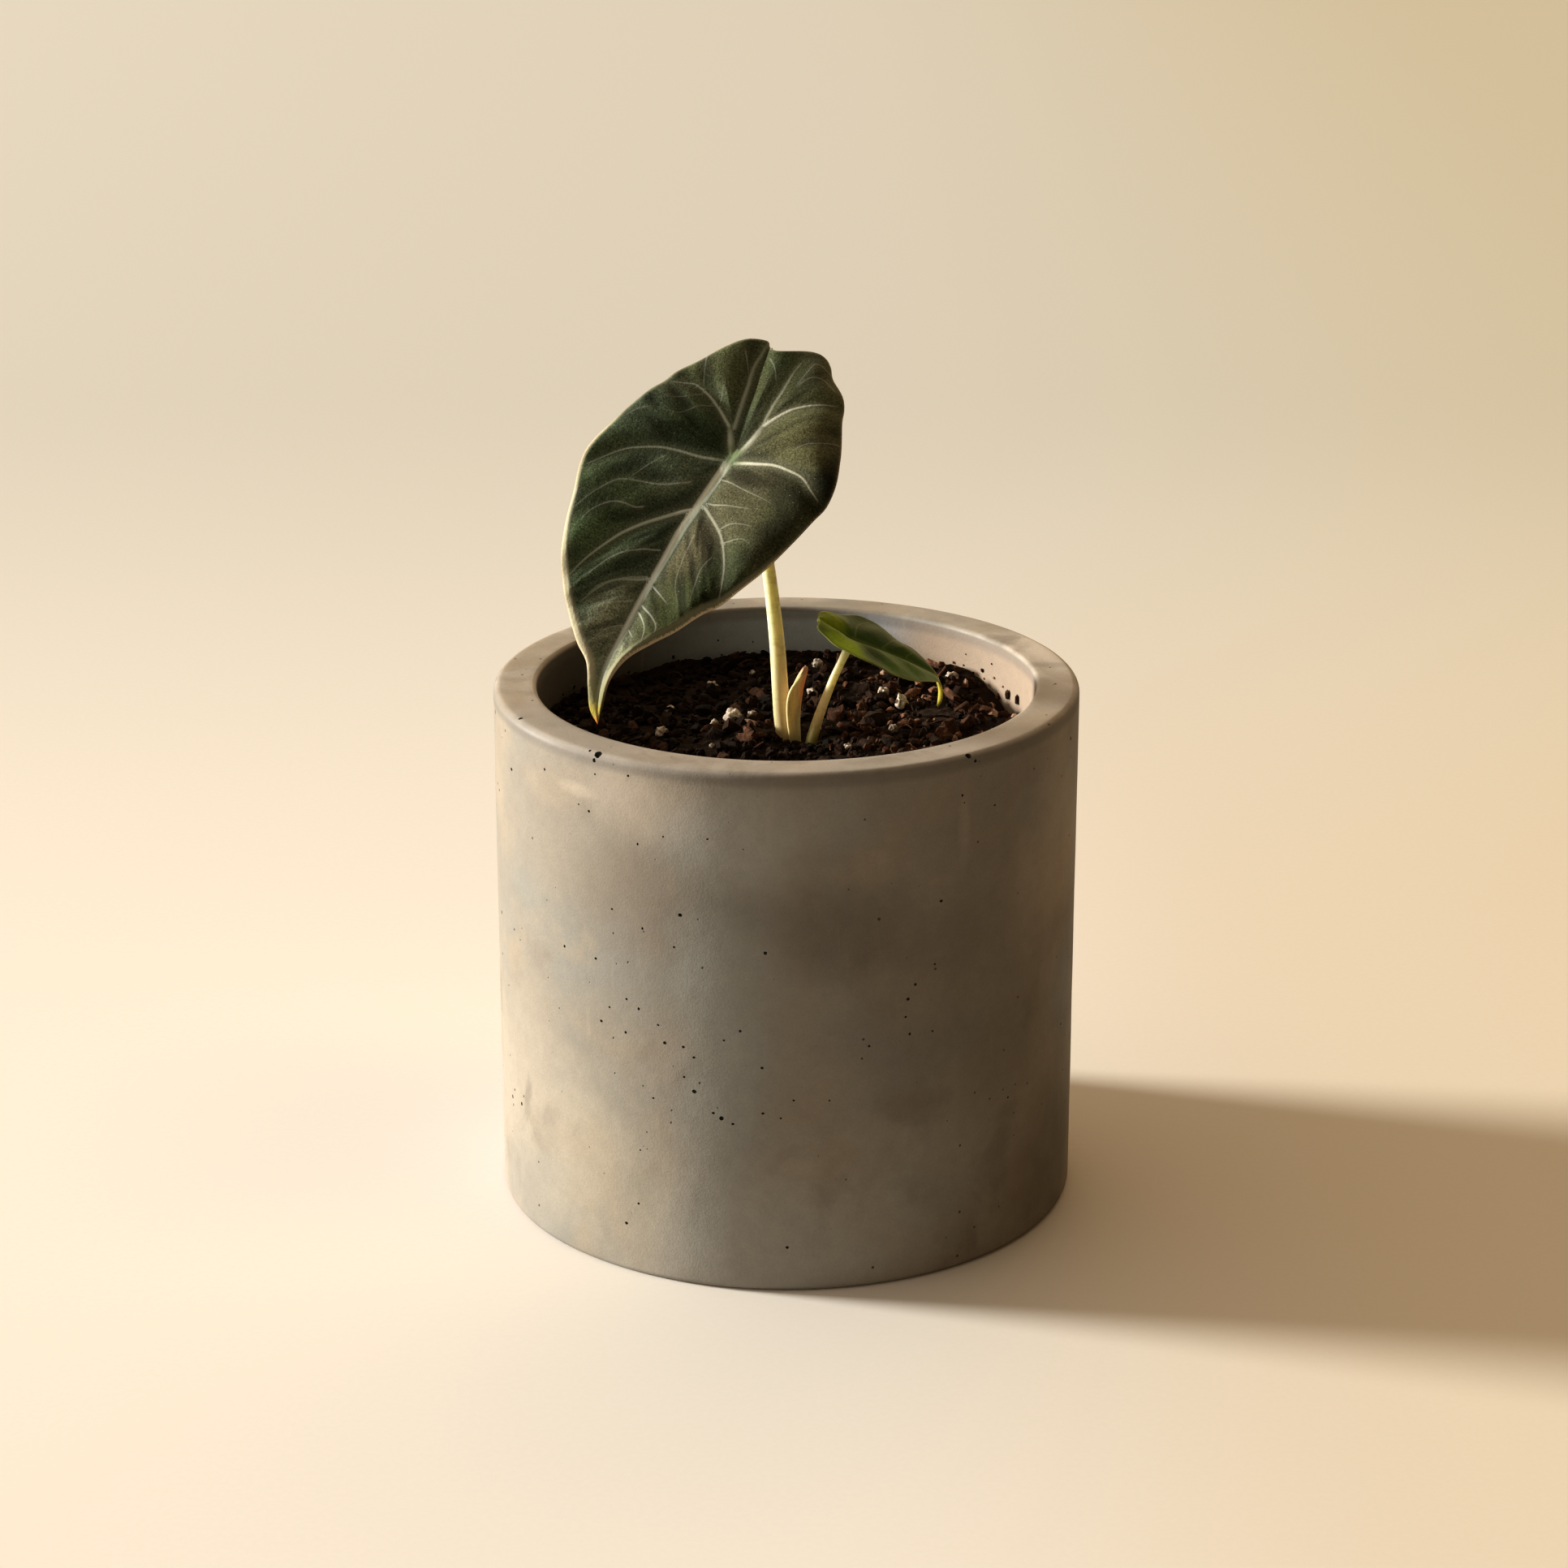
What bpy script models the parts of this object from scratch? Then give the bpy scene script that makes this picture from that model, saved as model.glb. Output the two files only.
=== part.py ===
"""A small potted alocasia, in metres, with +Z up.

Two leaves and a dried sheath grow from one rootstock, which sits in potting mix in a round cast
concrete pot. The origin is the middle of the pot's flat base, and -Y is the plant's front.
Lengths below are in millimetres times MM.
"""

import math
import random

import bmesh
import bpy
import numpy as np
from mathutils import Euler, Matrix, Vector

MM = 0.001
GAP = 0.3 * MM

POT_RADIUS = 50 * MM
POT_HEIGHT = 91.2 * MM
POT_WALL = 7.4 * MM
POT_FLOOR = 10 * MM
POT_RIM_ROUND = 1.3 * MM
POT_MOUTH_ROUND = 0.8 * MM
POT_FOOT_ROUND = 1.2 * MM
POT_INNER_FILLET = 4 * MM
POT_SEGMENTS = 72
ROUND_STEPS = 3
POT_INNER_RADIUS = POT_RADIUS - POT_WALL

SOIL_LEVEL = 82.3 * MM
SOIL_CELL = 3.3 * MM
SOIL_ROUGHNESS = 0.8 * MM
# Soft rises and hollows of the surface: middle across, middle in depth, reach, height, in mm.
SOIL_SWELLS = [
    (-7, -6, 6, 1.5),
    (-9, -16, 8, 0.8),
    (2, -2.2, 4, -1.3),
    (8, 33, 12, 1.2),
    (31, 22, 9, 1.2),
    (40, 12, 6, -2.6),
    (-25, 22, 12, -0.9),
    (20, -22, 14, 0.5),
]
CLODS = 56
CLOD_RADII = (1.5 * MM, 3.0 * MM)
CLOD_FIELD = POT_INNER_RADIUS - 2.6 * MM
CLOD_RISE = 0.1
CLOD_UNEVENNESS = 0.28
# Places kept free of clods: the foot of each stem, and below the small leaf's tip, in mm.
CLOD_FREE = [(-0.15, -1.6), (4.2, -3.9), (25.8, 7.5)]
CLOD_FREE_REACH = 2.6 * MM
GOLDEN_ANGLE = math.pi * (3 - math.sqrt(5))

# White grains of perlite that lie bedded in the surface: across, depth and radius, in mm.
PERLITE_GRAINS = [
    (-9.3, 3.2, 1.7),
    (-5.9, 5.4, 1.1),
    (-12.4, -0.9, 1.1),
    (-13.2, 24.0, 1.2),
    (4.6, 16.7, 1.2),
    (5.5, 31.4, 1.1),
    (17.1, 17.4, 1.2),
    (20.2, 12.4, 1.4),
    (13.6, 5.8, 0.9),
    (-20.1, 10.0, 1.0),
    (29.2, 24.2, 1.1),
    (-21.3, -4.2, 1.1),
    (18.4, -1.6, 1.0),
    (10.4, -13.0, 1.1),
]
GRAIN_BEDDED = 0.25
SMOOTH_GRAIN_RADIUS = 1.35

# The crown is the rootstock's cut-flat top, on which both stems and the sheath sit.
CROWN = Vector((1.9, -2.5, 75.8)) * MM
# Radius and depth below the crown, in mm.
ROOTSTOCK_PROFILE = [(3.9, 0), (4.7, 1.6), (5.1, 4), (4.9, 6.5), (3.7, 9.2), (1.8, 11)]
ROOTSTOCK_SIDES = 12
# Each root's heading in degrees, reach and drop in mm.
ROOTS = [(20, 21, 18), (95, 17, 30), (165, 24, 16), (235, 16, 34), (300, 22, 24)]
ROOT_RADII = (1.0 * MM, 0.45 * MM)
ROOT_SIDES = 5
ROOT_STEPS = 5

# Centre lines, in mm, from the crown up to the underside of each blade.
LARGE_STEM_LINE = [
    (0.2, -1.7, 76.1),
    (-0.15, -1.6, 80.7),
    (-0.7, -1.4, 85.0),
    (-1.05, -1.1, 89.8),
    (-1.6, -0.2, 98.0),
    (-2.75, 1.3, 108.2),
    (-4.0, 3.3, 115.6),
    (-5.9, 5.6, 121.9),
    (-8.0, 6.0, 126.0),
    (-8.78, 4.35, 127.85),
]
LARGE_STEM_RADII = (1.62, 1.5, 1.42, 1.36, 1.27, 1.18, 1.12, 1.08, 1.12, 1.25)
SMALL_STEM_LINE = [
    (3.9, -3.9, 76.1),
    (4.2, -3.9, 80.7),
    (4.9, -3.9, 83.7),
    (5.9, -3.8, 87.0),
    (7.0, -3.6, 90.0),
    (8.1, -3.3, 92.8),
    (9.3, -2.7, 95.2),
    (10.4, -1.7, 97.3),
]
SMALL_STEM_RADII = (1.1, 1.05, 0.95, 0.85, 0.75, 0.7, 0.66, 0.7)
STEM_SIDES = 10
STEM_RINGS = 16

SHEATH_TIP_HEIGHT = 93.6 * MM
SHEATH_THICKNESS = 0.6 * MM
SHEATH_FLARE = 2.4 * MM
SHEATH_MIDDLE = math.radians(2)
SHEATH_HALF_WRAP = math.radians(84)
SHEATH_TIP_WRAP = math.radians(7)
SHEATH_ROWS = 11
SHEATH_COLUMNS = 8

# A blade is drawn flat, in mm: across from the midrib to the leaf's right, and along from the
# hub, where the stem joins it, to the tip. Each margin runs from the notch to the tip.
LARGE_BLADE = {
    "hub": (-9.1, 3.0, 129.2),
    "heading": -126.0,
    "droop": 43.7,
    "roll": -16.0,
    "midline": [
        (-5.2, -24),
        (-2.1, -12.6),
        (0, 0),
        (-1.2, 9.5),
        (-2.2, 18),
        (-2.8, 27),
        (-3.2, 36),
        (-3.7, 41.9),
        (-3.5, 45.3),
        (-2.3, 51.2),
    ],
    "left": [
        (-5.2, -24),
        (-6.6, -25.4),
        (-9.6, -24.2),
        (-12, -20.8),
        (-14.2, -16.7),
        (-16.9, -11.6),
        (-18.6, -5.5),
        (-20.9, 0.4),
        (-22.8, 5.8),
        (-23.2, 10.6),
        (-21.7, 15.8),
        (-20.5, 22),
        (-18, 28.6),
        (-14.6, 34.4),
        (-10, 40.1),
        (-6.9, 42.9),
        (-5.4, 46.4),
        (-4.2, 49.4),
        (-2.3, 51.2),
    ],
    "right": [
        (-5.2, -24),
        (-3.6, -23.5),
        (-1.9, -24.4),
        (0.2, -25.9),
        (2.6, -26.4),
        (4.7, -25.7),
        (6.4, -24.1),
        (8.1, -21.7),
        (12, -18.1),
        (14.4, -13.1),
        (18.4, -5),
        (20.8, 1.8),
        (19.9, 7.9),
        (17.6, 14.3),
        (15.3, 20.7),
        (12.5, 25.9),
        (7.9, 31.4),
        (3.1, 36.9),
        (0, 40.6),
        (-1.7, 44.2),
        (-2.1, 47.4),
        (-2.3, 51.2),
    ],
    "veins": [
        [(0, 0), (-1.2, 9.5), (-2.2, 18), (-2.8, 27), (-3.2, 36), (-3.7, 41.9), (-3.2, 47)],
        [(0, 0), (-1.5, -2.7), (-2.9, -5.2), (-7.5, -8.7), (-11.8, -10.7), (-17, -9.4)],
        [(-2.2, -5.5), (-3.1, -9.6), (-4.1, -14.1), (-5.2, -18.4), (-6.1, -24.6)],
        [(0, 0), (2.1, -3.6), (2.6, -6.7), (2.2, -11.1), (2.1, -15.6), (1.9, -23.8)],
        [(2.6, -6.7), (4.3, -9.7), (5.9, -11.9), (8.5, -13.9), (12.8, -16)],
        [(0, 0.5), (-4.9, 2), (-8.3, 2.4), (-11.5, 3), (-17.3, 5.8), (-22.3, 11.2)],
        [(0, 1), (5.5, 0.7), (8.8, 0.4), (12.3, 0.9), (14.9, 1.6), (19.9, 5.1)],
        [(-1.6, 11), (-6.1, 14.7), (-11, 20), (-14.2, 26.1), (-15.9, 31.1)],
        [(-1.2, 9.5), (1.7, 11.8), (6.3, 15.9), (9.7, 21.6), (11.4, 27.2)],
        [(-2.7, 25), (-8.5, 28.1), (-10.6, 30.9), (-12.3, 34.6)],
        [(-2.8, 26), (-0.4, 27.7), (2.2, 29.4), (4.1, 32.3)],
    ],
    "back_arch": 0.0075,
    "front_arch": 0.0011,
    "curl_from": 38.0,
    "curl_radius": 22.0,
    "body_from": -26.0,
    "body_to": 50.0,
    "body_fade": (14.0, 22.0),
    # The share of the fold that is left behind the hub, and where it changes.
    "back_fold": (0.35, -16.0, 2.0),
    # How far each half folds up at its margin, the power of that fold, its bulge between midrib
    # and margin, how far the margin falls back, and how near to the margin that stays.
    "left_half": (3.4, 0.9, 0.0, 0.6, 10),
    "right_half": (6.6, 0.8, 0.0, 3.0, 8),
    "wave": (0.45, 4.5),
    "quilt": (0.9, 2.3),
    "thickness": 0.8,
    "rib": (0.9, 1.3),
    "rows": 42,
    "columns": 11,
}
SMALL_BLADE = {
    "hub": (11.3, -2.0, 98.6),
    "heading": 25.4,
    "droop": 24.0,
    "roll": 25.5,
    "midline": [
        (3.0, -6.5),
        (1.2, -3.2),
        (0, 0),
        (0.2, 6),
        (0.2, 12),
        (0.3, 18),
        (0.2, 21),
        (-0.6, 24.6),
    ],
    "left": [
        (3.0, -6.5),
        (1.6, -7),
        (-0.2, -7.5),
        (-2.5, -6.2),
        (-4.2, -4.3),
        (-5.7, -1.5),
        (-6.9, 2.6),
        (-7.4, 6.7),
        (-6.4, 11),
        (-4.4, 14.8),
        (-2.6, 17.4),
        (-1.1, 19.2),
        (-0.9, 21),
        (-1, 23),
        (-0.6, 24.6),
    ],
    "right": [
        (3.0, -6.5),
        (4.8, -5.8),
        (5.7, -3.6),
        (6.3, -0.6),
        (7.2, 2.4),
        (7.2, 6),
        (6, 9.2),
        (4.7, 12.2),
        (4, 14.4),
        (2.6, 17),
        (1.3, 18.6),
        (0.9, 20.5),
        (0.4, 22.8),
        (-0.6, 24.6),
    ],
    "veins": [
        [(0, 0), (0, 6), (0, 12), (0, 18)],
        [(0, 0), (-1.6, -2.6), (-3.2, -4.8)],
        [(0, 0), (1.6, -2.8), (3.4, -5.4)],
        [(0, 0), (-3.6, 1.6), (-6.2, 5.4)],
        [(0, 0), (3.6, 1.4), (6.4, 5)],
        [(0, 5.6), (-2.6, 8.6), (-4.2, 11.2)],
        [(0, 5.6), (2.8, 8.6), (4.6, 11)],
    ],
    "back_arch": 0.006,
    "front_arch": 0.004,
    "curl_from": 17.4,
    "curl_radius": 4.9,
    "body_from": -8.5,
    "body_to": 20.0,
    "body_fade": (5.0, 9.0),
    "back_fold": (1.0, -16.0, 2.0),
    "left_half": (0.0, 1.0, 0.9, -0.9, 3),
    "right_half": (0.0, 1.0, 1.0, -0.5, 3),
    "wave": (0.25, 3.0),
    "quilt": (0.3, 1.6),
    "thickness": 0.6,
    "rib": (0.35, 0.9),
    "rows": 22,
    "columns": 6,
}
CURVE_STEPS = 24
BULGE_POWER = 0.75


def clear_scene():
    for obj in list(bpy.data.objects):
        bpy.data.objects.remove(obj, do_unlink=True)


def plain_material(name, colour, roughness):
    """A Principled material with the part's own colour."""
    material = bpy.data.materials.new(name)
    material.use_nodes = True
    shader = material.node_tree.nodes["Principled BSDF"]
    shader.inputs["Base Color"].default_value = (*colour, 1.0)
    shader.inputs["Roughness"].default_value = roughness
    shader.inputs["Metallic"].default_value = 0.0
    material.diffuse_color = (*colour, 1.0)
    return material


def add_object(name, mesh, material=None):
    obj = bpy.data.objects.new(name, mesh)
    bpy.context.scene.collection.objects.link(obj)
    if material:
        mesh.materials.append(material)
    return obj


def solid_from(name, points, faces, material=None):
    """An object from points and faces, with its faces turned outwards."""
    mesh = bpy.data.meshes.new(name)
    mesh.from_pydata([tuple(point) for point in points], [], faces)
    work = bmesh.new()
    work.from_mesh(mesh)
    bmesh.ops.recalc_face_normals(work, faces=work.faces)
    work.to_mesh(mesh)
    work.free()
    return add_object(name, mesh, material)


def shade_round(obj, sharp_angle):
    obj.data.shade_smooth()
    obj.data.set_sharp_from_angle(angle=math.radians(sharp_angle))


def smooth_curve(points, count):
    """count points, evenly spaced along a smooth curve through the given ones."""
    knots = np.asarray(points, float)
    knots = np.vstack([2 * knots[0] - knots[1], knots, 2 * knots[-1] - knots[-2]])
    u = np.linspace(0, 1, CURVE_STEPS, endpoint=False)[:, None]
    fine = []
    for a, b, c, d in zip(knots, knots[1:], knots[2:], knots[3:]):
        bend = (2 * a - 5 * b + 4 * c - d) * u**2 + (3 * b - a - 3 * c + d) * u**3
        fine.append(b + 0.5 * ((c - a) * u + bend))
    fine = np.vstack([*fine, knots[-2][None]])
    run = np.concatenate([[0], np.cumsum(np.linalg.norm(np.diff(fine, axis=0), axis=1))])
    stops = np.linspace(0, run[-1], count)
    return np.column_stack([np.interp(stops, run, fine[:, k]) for k in range(fine.shape[1])])


def tube(name, line, radii, sides, material=None):
    """A closed round tube along a line of points, with a radius at each."""
    line = np.asarray(line, float)
    along = np.gradient(line, axis=0)
    points = []
    side_way = Vector((1, 0, 0))
    for centre, way, radius in zip(line, along, radii):
        way = Vector(way).normalized()
        side_way = (side_way - way * side_way.dot(way)).normalized()
        front_way = way.cross(side_way)
        for k in range(sides):
            turn = 2 * math.pi * k / sides
            offset = side_way * math.cos(turn) + front_way * math.sin(turn)
            points.append(Vector(centre) + offset * radius)
    faces = [tuple(range(sides)), tuple(range(len(points) - sides, len(points)))]
    for ring in range(len(line) - 1):
        for k in range(sides):
            a = ring * sides + k
            b = ring * sides + (k + 1) % sides
            faces.append((a, b, b + sides, a + sides))
    return solid_from(name, points, faces, material)


def turned(name, profile, segments, centre=(0, 0, 0), material=None):
    """A solid of revolution about the vertical through centre. The profile runs from its axis
    back to its axis, as pairs of radius and height."""
    work = bmesh.new()
    verts = [work.verts.new((radius, 0, height)) for radius, height in profile]
    edges = [work.edges.new(pair) for pair in zip(verts, verts[1:])]
    bmesh.ops.spin(
        work,
        geom=verts + edges,
        cent=(0, 0, 0),
        axis=(0, 0, 1),
        angle=2 * math.pi,
        steps=segments,
    )
    bmesh.ops.remove_doubles(work, verts=work.verts, dist=1e-6)
    bmesh.ops.recalc_face_normals(work, faces=work.faces)
    bmesh.ops.translate(work, verts=work.verts, vec=centre)
    mesh = bpy.data.meshes.new(name)
    work.to_mesh(mesh)
    work.free()
    return add_object(name, mesh, material)


def corner_round(centre, radius, start, end):
    """Points of a rounded corner in a profile, from one angle to another in degrees."""
    turns = [math.radians(start + (end - start) * k / ROUND_STEPS) for k in range(ROUND_STEPS + 1)]
    return [(centre[0] + radius * math.cos(a), centre[1] + radius * math.sin(a)) for a in turns]


def apply_modifiers(obj):
    graph = bpy.context.evaluated_depsgraph_get()
    shaped = bpy.data.meshes.new_from_object(obj.evaluated_get(graph))
    obj.modifiers.clear()
    obj.data = shaped


def combine(target, operation, helpers):
    """Joins, cuts or intersects the target with helper objects, which are then removed."""
    group = bpy.data.collections.new("helpers")
    bpy.context.scene.collection.children.link(group)
    for helper in helpers:
        group.objects.link(helper)
    change = target.modifiers.new("combine", "BOOLEAN")
    change.operation = operation
    change.solver = "MANIFOLD"
    change.operand_type = "COLLECTION"
    change.collection = group
    apply_modifiers(target)
    for helper in helpers:
        bpy.data.objects.remove(helper, do_unlink=True)
    bpy.data.collections.remove(group)


def keep_largest_body(obj):
    """Drops any loose scrap that cutting has left."""
    work = bmesh.new()
    work.from_mesh(obj.data)
    unseen = set(work.verts)
    bodies = []
    while unseen:
        body = {unseen.pop()}
        edge_of_body = list(body)
        while edge_of_body:
            vert = edge_of_body.pop()
            for edge in vert.link_edges:
                other = edge.other_vert(vert)
                if other in unseen:
                    unseen.remove(other)
                    body.add(other)
                    edge_of_body.append(other)
        bodies.append(body)
    bodies.sort(key=len, reverse=True)
    for body in bodies[1:]:
        bmesh.ops.delete(work, geom=list(body), context="VERTS")
    work.to_mesh(obj.data)
    work.free()


def make_pot(material):
    top = POT_HEIGHT - POT_RIM_ROUND
    rim_middle = (POT_RADIUS - POT_RIM_ROUND, top)
    mouth_middle = (POT_INNER_RADIUS + POT_MOUTH_ROUND, POT_HEIGHT - POT_MOUTH_ROUND)
    foot_middle = (POT_RADIUS - POT_FOOT_ROUND, POT_FOOT_ROUND)
    fillet_middle = (POT_INNER_RADIUS - POT_INNER_FILLET, POT_FLOOR + POT_INNER_FILLET)
    profile = [(0, 0)]
    profile += corner_round(foot_middle, POT_FOOT_ROUND, -90, 0)
    profile += corner_round(rim_middle, POT_RIM_ROUND, 0, 90)
    profile += corner_round(mouth_middle, POT_MOUTH_ROUND, 90, 180)
    profile += corner_round(fillet_middle, POT_INNER_FILLET, 0, -90)
    profile += [(0, POT_FLOOR)]
    pot = turned("pot", profile, POT_SEGMENTS, material=material)
    shade_round(pot, 40)


def soil_height(x, y):
    """Height of the soil's own surface under its clods."""
    height = SOIL_LEVEL
    for across, depth, reach, rise in SOIL_SWELLS:
        away = math.hypot(x - across * MM, y - depth * MM) / (reach * MM)
        height += rise * MM * math.exp(-away * away)
    return height


def make_rootstock(name, swell, material=None):
    """The rootstock with its roots. swell thickens it, for the hollow that it lies in."""
    profile = [(0, swell)]
    profile += [(r * MM + swell, swell - drop * MM) for r, drop in ROOTSTOCK_PROFILE[:1]]
    profile += [(r * MM + swell, -drop * MM) for r, drop in ROOTSTOCK_PROFILE[1:]]
    profile += [(0, -ROOTSTOCK_PROFILE[-1][1] * MM - swell)]
    body = turned(name, profile, ROOTSTOCK_SIDES, CROWN, material)
    roots = []
    for number, (heading, reach, drop) in enumerate(ROOTS):
        way = Vector((math.cos(math.radians(heading)), math.sin(math.radians(heading)), 0))
        start = CROWN - Vector((0, 0, 6 * MM))
        knee = start + way * (0.45 * reach * MM) - Vector((0, 0, 0.2 * drop * MM))
        end = start + way * (reach * MM) - Vector((0, 0, drop * MM))
        line = smooth_curve([start, knee, end], ROOT_STEPS)
        radii = np.linspace(*ROOT_RADII, ROOT_STEPS) + swell
        # A swollen root also reaches past the end of the one that lies in it.
        line[-1] += (line[-1] - line[-2]) / np.linalg.norm(line[-1] - line[-2]) * swell
        roots.append(tube(f"root_{number}", line, radii, ROOT_SIDES))
    combine(body, "UNION", roots)
    return body


def stem(name, line, radii, swell=0.0, material=None):
    """One leaf's stem, round and slightly tapering."""
    centre = smooth_curve(np.array(line) * MM, STEM_RINGS)
    stations = np.linspace(0, 1, STEM_RINGS)
    widths = np.interp(stations, np.linspace(0, 1, len(radii)), np.array(radii) * MM)
    return tube(name, centre, widths + swell, STEM_SIDES, material)


def sheath(name, swell=0.0, material=None):
    """The dried sheath: a pointed shell wrapped round the right side of the large stem."""
    line = smooth_curve(np.array(LARGE_STEM_LINE) * MM, STEM_RINGS)
    stem_radius = LARGE_STEM_RADII[0] * MM
    foot = line[0][2]
    heights = np.linspace(foot, SHEATH_TIP_HEIGHT, SHEATH_ROWS)
    walls = []
    for side in (-swell, SHEATH_THICKNESS + swell):
        for height in heights:
            rise = (height - foot) / (SHEATH_TIP_HEIGHT - foot)
            middle = [np.interp(height, line[:, 2], line[:, k]) for k in (0, 1)]
            radius = stem_radius + GAP + SHEATH_FLARE * rise**2 + side
            wrap = SHEATH_HALF_WRAP * (1 - rise**2.2) ** 0.75 + SHEATH_TIP_WRAP
            wrap += swell / radius
            for turn in np.linspace(-wrap, wrap, SHEATH_COLUMNS + 1):
                angle = SHEATH_MIDDLE + turn
                x = middle[0] + radius * math.cos(angle)
                y = middle[1] + radius * math.sin(angle)
                walls.append((x, y, height + (swell if rise == 1 else 0)))
    return solid_from(name, walls, two_faced_grid(SHEATH_ROWS, SHEATH_COLUMNS + 1), material)


def two_faced_grid(rows, columns):
    """Faces of a closed sheet: an inner grid, an outer grid and the wall between them."""

    def corner(side, row, column):
        return (side * rows + row) * columns + column

    faces = []
    for row in range(rows - 1):
        for column in range(columns - 1):
            for side in (0, 1):
                a = corner(side, row, column)
                b = corner(side, row, column + 1)
                c = corner(side, row + 1, column + 1)
                d = corner(side, row + 1, column)
                faces += [(a, b, c), (a, c, d)]
    border = [(0, k) for k in range(columns)] + [(k, columns - 1) for k in range(1, rows)]
    border += [(rows - 1, k) for k in range(columns - 2, -1, -1)]
    border += [(k, 0) for k in range(rows - 2, 0, -1)]
    for (r0, c0), (r1, c1) in zip(border, border[1:] + border[:1]):
        a, b = corner(0, r0, c0), corner(0, r1, c1)
        faces += [(a, b, corner(1, r1, c1)), (a, corner(1, r1, c1), corner(1, r0, c0))]
    return faces


def blade_frame(blade):
    """Directions across, along and up out of the blade's upper face."""
    heading = math.radians(blade["heading"])
    droop = math.radians(blade["droop"])
    along = Vector(
        (math.cos(heading) * math.cos(droop), math.sin(heading) * math.cos(droop), -math.sin(droop))
    )
    # Seen from above the face with the tip pointing away, across is to the left hand.
    level = Vector((-math.sin(heading), math.cos(heading), 0))
    up = along.cross(level).normalized()
    roll = Matrix.Rotation(math.radians(blade["roll"]), 3, along)
    return roll @ level, along, roll @ up


def distance_to_veins(blade, flat):
    """Distance from each point of the flat blade to its nearest vein, in mm."""
    nearest = np.full(flat.shape[:-1], np.inf)
    for vein in blade["veins"]:
        line = smooth_curve(vein, CURVE_STEPS)
        away = np.linalg.norm(flat[..., None, :] - line, axis=-1).min(axis=-1)
        nearest = np.minimum(nearest, away)
    return nearest


def blade_face(blade):
    """Points of the blade's upper face, row by row from notch to tip, and its thickness."""
    rows, columns = blade["rows"], blade["columns"]
    midline = smooth_curve(blade["midline"], rows)[:, None]
    left = smooth_curve(blade["left"], rows)[:, None]
    right = smooth_curve(blade["right"], rows)[:, None]
    t = np.linspace(-1, 1, 2 * columns + 1)[None, :, None]
    flat = midline + np.where(t < 0, (left - midline) * -t, (right - midline) * t)
    t = t[..., 0]
    out = np.abs(t)
    along = flat[..., 1]

    fade_in, fade_out = blade["body_fade"]
    body = np.clip((along - blade["body_from"]) / fade_in, 0, 1) ** 0.5
    body = body * np.clip((blade["body_to"] - along) / fade_out, 0, 1) ** 0.8
    lift, fold, bulge, fall, power = (
        np.where(t < 0, a, b) for a, b in zip(blade["left_half"], blade["right_half"])
    )
    share, back, front = blade["back_fold"]
    forward = np.clip((along - back) / (front - back), 0, 1)
    lift = lift * (share + (1 - share) * forward * forward * (3 - 2 * forward))
    bulge = bulge * np.sin(math.pi * out**BULGE_POWER)
    height = body * (lift * out**fold + bulge - fall * out**power)
    wave, waves = blade["wave"]
    turns = 2 * math.pi * waves * np.linspace(0, 1, rows)[:, None]
    height += body * wave * np.sin(turns + (t > 0)) * out**4
    quilt, reach = blade["quilt"]
    veins = distance_to_veins(blade, flat)
    height += body * quilt * (1 - np.exp(-((veins / reach) ** 2)))
    height -= np.where(along < 0, blade["back_arch"], blade["front_arch"]) * along**2

    # The end of the blade curls down on a round, so its length runs along that round.
    curl = np.clip(along - blade["curl_from"], 0, None) / blade["curl_radius"]
    reach_along = np.minimum(along, blade["curl_from"]) + blade["curl_radius"] * np.sin(curl)
    height -= blade["curl_radius"] * (1 - np.cos(curl))

    across_way, along_way, up_way = (np.array(way) for way in blade_frame(blade))
    face = np.array(blade["hub"]) + flat[..., :1] * across_way
    face = face + reach_along[..., None] * along_way + height[..., None] * up_way

    rib, rib_reach = blade["rib"]
    from_midline = np.linalg.norm(flat - midline, axis=-1)
    below_hub = np.clip((along + 3) / 3, 0, 1) * np.clip(1.15 - along / along.max(), 0, 1)
    thickness = blade["thickness"] + rib * below_hub * np.exp(-((from_midline / rib_reach) ** 2))
    return face, thickness


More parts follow.
